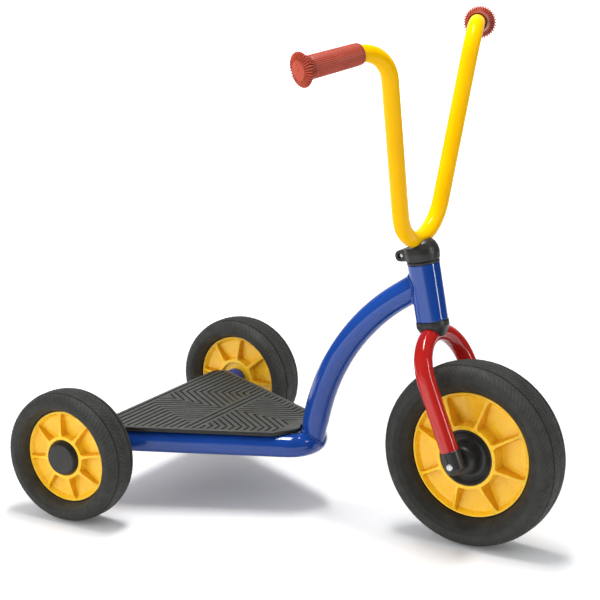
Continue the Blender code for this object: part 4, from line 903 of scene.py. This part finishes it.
def build_front_wheel():
    build_wheel("front", "front_%s", FRONT_HUB, "front_wheel",
                # The last number paints shade on the front sidewall.
                (FRONT_R, 0.0300, 0.0151, 0.0799, 0.0111, 112, 0.70),
                (0.0799, 0.0111, 0.0360, 0.0240, 0.0150, wheel_phase(29.0)))
    cover = eased([
        (0.0357, 0.0153, 0.0002), (0.0357, 0.0238, 0.0008), (0.0337, 0.0231, 0.0010), (0.0303, 0.0201, 0.0040),
        (0.0250, 0.0182, 0.0040), (0.0218, 0.0190, 0.0030), (0.0196, 0.0224, 0.0030), (0.0182, 0.0340, 0.0030),
        (0.0167, 0.0368, 0.0030), (0.0141, 0.0388, 0.0020), (0.0110, 0.0395, 0.0012), (0.0066, 0.0395, 0.0005),
        (0.0066, 0.0369, 0), (0.0110, 0.0369, 0), (0.0156, 0.0340, 0), (0.0156, 0.0153, 0)], steps=4)
    for side, sign in SIDES:
        turned_piece("hub_cover_" + side, cover, FRONT_HUB @ side_axis(sign), BLACK, "front_wheel",
                     "front_hub_cover_" + side, 112)


# Fork and its ends

def fork_path(steps=56):
    """Up the right leg, round the crown's half circle and down the left leg."""
    crown = hypot(FORK_OFFSET, CROWN_H)
    path = [Vector((0, -FORK_HALF, LEG_END))]
    for k in range(steps + 1):
        a = pi * k / steps
        path.append(Vector((0, -FORK_HALF * cos(a), crown - FORK_HALF + FORK_HALF * sin(a))))
    path.append(Vector((0, FORK_HALF, LEG_END)))
    return path


def fork_end_mesh(sign):
    """Plug at the foot of a leg: rounded nose, flat inner face, axle hole, parting line."""
    below, spigot_r, spigot_top = 0.0125, 0.0092, 0.0398
    shoulder = LEG_END - SEAT_GAP
    nose = []
    for k in range(8):
        a = pi / 2 * k / 8
        nose.append((FORK_END_R * cos(a) ** 0.8, -below + 0.0076 * (1 - sin(a) ** 1.2), 0))
    profile = [(0, spigot_top, 0), (spigot_r, spigot_top, 0.0005), (spigot_r, shoulder, 0),
               (FORK_END_R, shoulder, 0.0007)] + nose + [(0, -below, 0)]
    mesh = placed(turned(eased(profile), 72), Matrix.Translation((0, sign * FORK_HALF, 0)))
    flat, tall = FORK_HALF - FORK_END_R + 0.0008, 0.031
    slab = box((0.05, flat * 2, tall), (0, 0, shoulder - 0.0022 - tall / 2))
    hole = placed(rod(AXLE_HOLE_R, -0.08, 0.08), side_axis())
    seams = [box((0.0006, 0.0064, length), (0.00003, sign * (FORK_HALF + FORK_END_R + 0.0022), middle))
             for length, middle in ((0.0100, 0.0104), (0.0120, -0.0113))]
    return cut(mesh, [slab, hole] + seams)


def build_fork():
    piece("fork_arch", [placed(bar(fork_path(), FORK_R, RED), FORK)], RED, "steering", "fork_tube")
    for side, sign in SIDES:
        piece("fork_foot_" + side, [placed(fork_end_mesh(sign), FORK)], BLACK, "steering", "fork_end_" + side)
    reach = FORK_HALF + FORK_END_R
    pin = [
        (0, reach + 0.0013), (0.0028, reach + 0.0012), (0.0039, reach + 0.0008), (0.0042, reach + 0.0001),
        (0.0042, reach - 0.0030), (0.0040, reach - 0.0032)]
    pin += [(r, -h) for r, h in reversed(pin)]
    turned_piece("front_axle_pin", pin, FORK @ side_axis(), ZINC, "steering", "front_axle", 48)
    spacer = sleeve(AXLE_HOLE_R, 0.0060, 0.0168, 0.0418, 0.0004, 0.0002)
    for side, sign in SIDES:
        turned_piece("axle_spacer_" + side, spacer, FORK @ side_axis(sign), ZINC, "steering",
                     "front_spacer_" + side, 48)


def build_collar():
    """The saddle that joins the steerer to the bent fork tube."""
    top, low, waist_r = COLLAR_TOP, COLLAR_TOP - 0.0200, 0.0208
    profile = eased([
        (0, top, 0), (0.0203, top, 0.0006), (waist_r, top - 0.0030, 0.003), (waist_r, top - 0.0072, 0.004),
        (0.0179, top - 0.0133, 0.006), (0.0150, low + 0.0012, 0.001), (0.0138, low, 0.0008), (0, low, 0)])
    arch = placed(bar(fork_path(), FORK_R + SEAT_GAP, BLACK), FORK)
    socket = placed(rod(STEM_SOCKET_R, 0.1630, top + 0.002), STEER)
    mesh = softened(cut(placed(turned(profile), STEER), [arch, socket]), 0.00045, 3)
    piece("fork_saddle", [mesh], BLACK, "steering", "fork_collar")


# Handlebar

def bar_path():
    """The bar from tip to tip, with the left tip and the direction of its grip."""
    lean, spread = 0.252, 0.291
    slope = hypot(1.0, lean)
    low_bend, high_bend = 0.0544, 0.0480
    dip = low_bend * (1 / sin(atan(spread / slope)) - 1) / slope
    apex = Vector((-0.0016 - lean * dip, 0, BAR_H - dip))
    corner = apex + Vector((lean, spread, 1.0)) * (dip + 0.2459)
    sweep, drop = radians(25.2), radians(3.3)
    grip = Vector((-sin(sweep) * cos(drop), cos(sweep) * cos(drop), -sin(drop)))
    tip = corner + grip * 0.1215
    mirror = Matrix.Diagonal((1, -1, 1))
    corners = [mirror @ tip, mirror @ corner, apex, corner, tip]
    return fillet_path(corners, [high_bend, low_bend, high_bend], 30), tip, grip


def clamp_mesh(path):
    """Clamp with a saddle for the bar, a horn in front of it and a pinch ear behind."""
    base, top = CLAMP_BASE, CLAMP_BASE + 0.0262
    profile = eased([
        (0, top, 0), (0.0130, top, 0.004), (0.0182, top - 0.0042, 0.005), (0.0212, top - 0.0105, 0.008),
        (0.0223, base + 0.0095, 0.008), (0.0215, base + 0.0010, 0.0008), (0.0205, base, 0), (0, base, 0)])
    ear_r, half_w, arm = 0.0073, 0.0080, 0.01645
    ear = placed(rod(ear_r, -half_w, half_w, 40), EAR)
    link = box((arm, half_w * 2, ear_r * 2), (arm / 2 - EAR_BACK, 0, base + EAR_UP))
    stem_top, below = base + 0.0148, base - 0.002
    bore = [
        (0, BAR_H), (0.0103, BAR_H), (0.0103, stem_top), (STEM_SOCKET_R, stem_top), (STEM_SOCKET_R, below),
        (0, below)]
    wide, tall = 0.07, 0.033
    rear_cut = box((wide, wide, tall), (-wide / 2 - 0.0016, 0, base + 0.0175 + tall / 2))
    solid = cut(cut(turned(profile), [ear, link], "UNION"),
                [rear_cut, turned(bore, 64), bar(path, BAR_R + SEAT_GAP, BLACK, 40)])
    slit = 0.0365
    slot = box((slit, 0.0030, 0.066), (-slit / 2, 0, base + 0.0131))
    hole = placed(rod(0.0031, -0.010, 0.010), EAR)
    recess = placed(rod(0.0038, -0.010, -0.0062), EAR)
    return cut(softened(solid, 0.00050, 5), [slot, hole, recess])


def bolt_mesh():
    """Cap screw, its six-sided socket at the ear's left and its end deep in the hole at the right."""
    head_r, shank_r, head_low, head_top, end = 0.0048, 0.0028, 0.0083, 0.0123, -0.0048
    profile = eased([
        (0, head_top, 0), (head_r, head_top, 0.0005), (head_r, head_low, 0.0002), (shank_r, head_low, 0),
        (shank_r, end, 0.0008), (0, end, 0)])
    return placed(cut(turned(profile, 48), [hexagon(0.0023, 0.005, head_top)]), STEER @ EAR)


def fin_mesh():
    """One tooth of the crown, from the end disc over the rim and down the inner flank."""
    outline = [
        (0.0110, 0.0040), (0.0121, 0.0049), (0.0158, 0.0045), (0.0192, 0.0033), (0.0208, 0.0021),
        (0.0212, 0.0009), (0.0208, -0.0004), (0.0190, -0.0024), (0.0166, -0.0054), (0.0148, -0.0084),
        (0.0139, -0.0102), (0.0122, -0.0108)]
    rows = []
    for side, inset in ((-1.0, 0.0003), (-0.6, 0.0), (0.6, 0.0), (1.0, 0.0003)):
        row = []
        for r, t in outline:
            pull = 0.0 if r < 0.0123 else inset
            half = 0.00056 + 0.00046 * within((r - 0.0120) / 0.0088)
            row.append((r - pull, side * half, t - copysign(pull, t)))
        rows.append(row)
    return lofted(rows)


def grip_line_mesh():
    """One fine line along the sleeve, its edges sunk in it."""
    start, length, foot, half_foot, half_top = -0.0108, 0.0676, 0.0003, 0.00080, 0.00050
    rows = []
    for share, lift in ((0.0, -0.0002), (0.04, 0.00028), (0.5, 0.00028), (0.96, 0.00028), (1.0, -0.0002)):
        t = start - length * share
        r = 0.0138 + (0.0130 - 0.0138) * (t + 0.0064) / -0.0729
        rows.append([(r - foot, -half_foot, t), (r + lift, -half_top, t), (r + lift, half_top, t),
                     (r - foot, half_foot, t)])
    return lofted(rows)


def grip_meshes():
    """Sleeve with fine lengthwise lines, crown flange with teeth, end disc with two dimples; painted shade lies on
    the flange between the teeth, on the sleeve between the lines and at its open end.
    """
    face = 0.0051
    body = eased([
        (0, face, 0), (0.0119, face, 0.0006), (0.0125, 0.0034, 0.0008), (0.0190, 0.0018, 0.0012),
        (0.0194, 0.0004, 0.0008), (0.0160, -0.0006, 0.0020), (0.0132, -0.0040, 0.0020), (0.0134, -0.0098, 0.0006),
        (0.01375, -0.0112, 0), (0.01371, -0.0120, 0), (0.01303, -0.0778, 0), (0.0130, -0.0793, 0.001),
        (0.0125, -0.0812, 0.0008), (0.0118, -0.0815, 0.0003), (0.0111, -0.0770, 0), (0.0111, 0.0003, 0),
        (0, 0.0003, 0)], steps=4)
    dimples = [placed(rod(0.0008, 0.0030, 0.007, 16), Matrix.Translation((x, 0, 0))) for x in (0.0, 0.0064)]

    # Painted shade: deep between the teeth of the crown, lighter between the sleeve's lines and at the open end.
    def painted_shade_rule(r, t):
        if t > 0.0044 and r < 0.0122:
            return 1.0
        if t > -0.0106:
            return 0.30
        return 0.58 if t < -0.0785 else 0.62

    rows = [with_painted_shading(copies_round(mesh, GRIP_TEETH, GRIP_RUBBER)) for mesh in (fin_mesh(), grip_line_mesh())]
    return [with_painted_shading(cut(turned(body), dimples), painted_shade_rule)] + rows


def build_handlebar():
    path, tip, grip = bar_path()
    piece("handlebar_tube", [placed(bar(path, BAR_R, YELLOW), STEER)], YELLOW, "steering", "handlebar")
    piece("bar_clamp", [placed(clamp_mesh(path), STEER)], BLACK, "steering", "stem_clamp")
    piece("clamp_screw", [bolt_mesh()], ZINC, "steering", "clamp_bolt")
    for side, sign in SIDES:
        flip = Matrix.Diagonal((1, sign, 1))
        at = Matrix.Translation(flip @ tip) @ (flip @ grip).to_track_quat("Z", "X").to_matrix().to_4x4()
        piece("hand_grip_" + side, [placed(m, STEER @ at) for m in grip_meshes()], GRIP_RUBBER, "steering",
              "grip_" + side)


def finish_solids():
    """Solids that are right as they are get their finish only."""
    plain = {"steerer_tube": RED, "handlebar_stem": YELLOW, "lower_head_bush": NYLON, "rear_axle": ZINC}
    for side, _ in SIDES:
        plain.update({"push_nut_" + side: ZINC, "rear_bush_outer_" + side: NYLON, "front_bush_" + side: NYLON})
    for name, finish in plain.items():
        paint(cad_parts[name].data, finish)


# Studio

ACROSS = Vector((0.8565, 0.5161, 0.0))
AWAY = Vector((-0.51, 0.86, 0.0))


def along(tree, place, direction, operation="DOT_PRODUCT"):
    """How far a place lies along a direction, or from a point."""
    return node(tree, "ShaderNodeVectorMath", place, direction, how={"operation": operation}).outputs["Value"]


def mixed(tree, share, first, second):
    return node(tree, "ShaderNodeMixShader", share, first, second).outputs[0]


def product(tree, first, *shares):
    """The product of several shares."""
    for share in shares:
        first = value_of(tree, "MULTIPLY", first, share)
    return first


def lit(tree, kind, strength):
    return node(tree, kind, Strength=strength).outputs[0]


def build_floor():
    """A roll of white paper towards the camera, which keeps the shadow and shows in the paint."""
    size, white, glow = 9.0, 0.80, 0.06
    mesh = bpy.data.meshes.new("studio_floor")
    mesh.from_pydata([(-size, -size, 0), (size, -size, 0), (size, size, 0), (-size, size, 0)], [], [(0, 1, 2, 3)])
    floor = linked("studio_floor", mesh)
    mat = bpy.data.materials.new("studio_paper")
    mat.use_nodes = True
    tree = mat.node_tree
    tree.nodes.clear()
    paper = node(tree, "ShaderNodeBsdfDiffuse", Color=(white, white, white, 1)).outputs[0]
    place = node(tree, "ShaderNodeTexCoord").outputs["Object"]
    distance = along(tree, place, (0, 0, 0), "DISTANCE")
    glowing = lit(tree, "ShaderNodeEmission", band(tree, distance, (0.45, 2.2), (glow, 1.0)))
    bright = node(tree, "ShaderNodeAddShader", paper, glowing).outputs[0]
    beside = value_of(tree, "ABSOLUTE", along(tree, place, ACROSS))
    nearer = along(tree, place, -AWAY)
    on_roll = product(tree, band(tree, beside, (1.55, 1.65), (1.0, 0.0)),
                      band(tree, nearer, (3.0, 3.3), (1.0, 0.0)))
    mirrored = mixed(tree, on_roll, lit(tree, "ShaderNodeEmission", glow), bright)
    rays = node(tree, "ShaderNodeLightPath").outputs
    seen = mixed(tree, rays["Is Camera Ray"], paper, bright)
    node(tree, "ShaderNodeOutputMaterial", mixed(tree, rays["Is Glossy Ray"], seen, mirrored))
    mesh.materials.append(mat)


def build_air():
    """White to the camera, a plain level on the object, a dim room with a pale backdrop in mirrored light.

    The shown level is above one, as the node's own grey of 0.8 dims it."""
    level, shown, room, backdrop, card = 0.65, 1.3, 0.06, 0.85, 1.15
    world = bpy.data.worlds.new("studio_air")
    bpy.context.scene.world = world
    world.use_nodes = True
    tree = world.node_tree
    shade = tree.nodes["Background"]
    shade.inputs["Color"].default_value = (0.97, 0.98, 1.0, 1)
    shade.inputs["Strength"].default_value = level
    place = node(tree, "ShaderNodeTexCoord").outputs["Generated"]
    behind = band(tree, along(tree, place, AWAY), (0.72, 0.80), (room, backdrop))
    edge = (-0.01, 0.02)
    low_card = product(
        tree, band(tree, along(tree, place, (-0.9205, -0.3907, 0.0)), edge, (0.0, 1.0)),
        band(tree, along(tree, place, (0.8192, -0.5736, 0.0)), edge, (0.0, 1.0)),
        band(tree, along(tree, place, (0.0, 0.0, 1.0)), (0.215, 0.235), (card, 0.0)))
    mirrored = lit(tree, "ShaderNodeBackground", value_of(tree, "MAXIMUM", behind, low_card))
    rays = node(tree, "ShaderNodeLightPath").outputs
    air = mixed(tree, rays["Is Glossy Ray"], shade.outputs[0], mirrored)
    air = mixed(tree, rays["Is Camera Ray"], air, lit(tree, "ShaderNodeBackground", shown))
    tree.links.new(air, tree.nodes["World Output"].inputs["Surface"])


def softbox(name, at, aim, across, power, width, height, mirrored=True, lights=True):
    """A rectangular lamp aimed at a point, its width laid along a direction."""
    lamp = bpy.data.lights.new(name, "AREA")
    holder = linked(name, set_up(lamp, shape="RECTANGLE", size=width, size_y=height, energy=power))
    back = (Vector(at) - Vector(aim)).normalized()
    side = (Vector(across) - back * back.dot(Vector(across))).normalized()
    holder.matrix_world = Matrix.Translation(at) @ Matrix((side, back.cross(side), back)).transposed().to_4x4()
    holder.visible_glossy = mirrored
    holder.visible_diffuse = lights


def build_studio():
    build_floor()
    build_air()
    softbox("top_softbox", (-0.10, 0.05, 2.7), (0, 0, 0), ACROSS, 60.0, 0.45, 1.3)
    softbox("broad_softbox", (-1.8, -2.15, 1.20), (0, 0, 0.35), (0.77, -0.64, 0), 60.0, 4.4, 2.2, mirrored=False)
    softbox("strip_softbox", (2.45, 0.30, 1.1), (0, 0, 0.3), (0.12, -0.99, 0), 22.0, 0.15, 1.9, lights=False)


def build_camera():
    """Long lens from the right and front, a little above, as in the photograph."""
    camera = linked("photo_camera", set_up(bpy.data.cameras.new("photo_camera"), sensor_width=36.0, lens=138.20))
    right = Vector((0.8564593, 0.5160694, 0.0122389))
    up = Vector((-0.1465676, 0.2203710, 0.9643415))
    back = Vector((0.4949701, -0.8277131, 0.2643779))
    turn = Matrix((right, up, back)).transposed().to_4x4()
    camera.matrix_world = Matrix.Translation((1.4184593, -2.4317693, 1.0516885)) @ turn
    bpy.context.scene.camera = camera
    bpy.context.scene.view_settings.view_transform = "Standard"


build_camera()
build_frame()
build_deck()
build_rear_wheels()
build_front_wheel()
build_fork()
build_collar()
build_handlebar()
finish_solids()
build_studio()
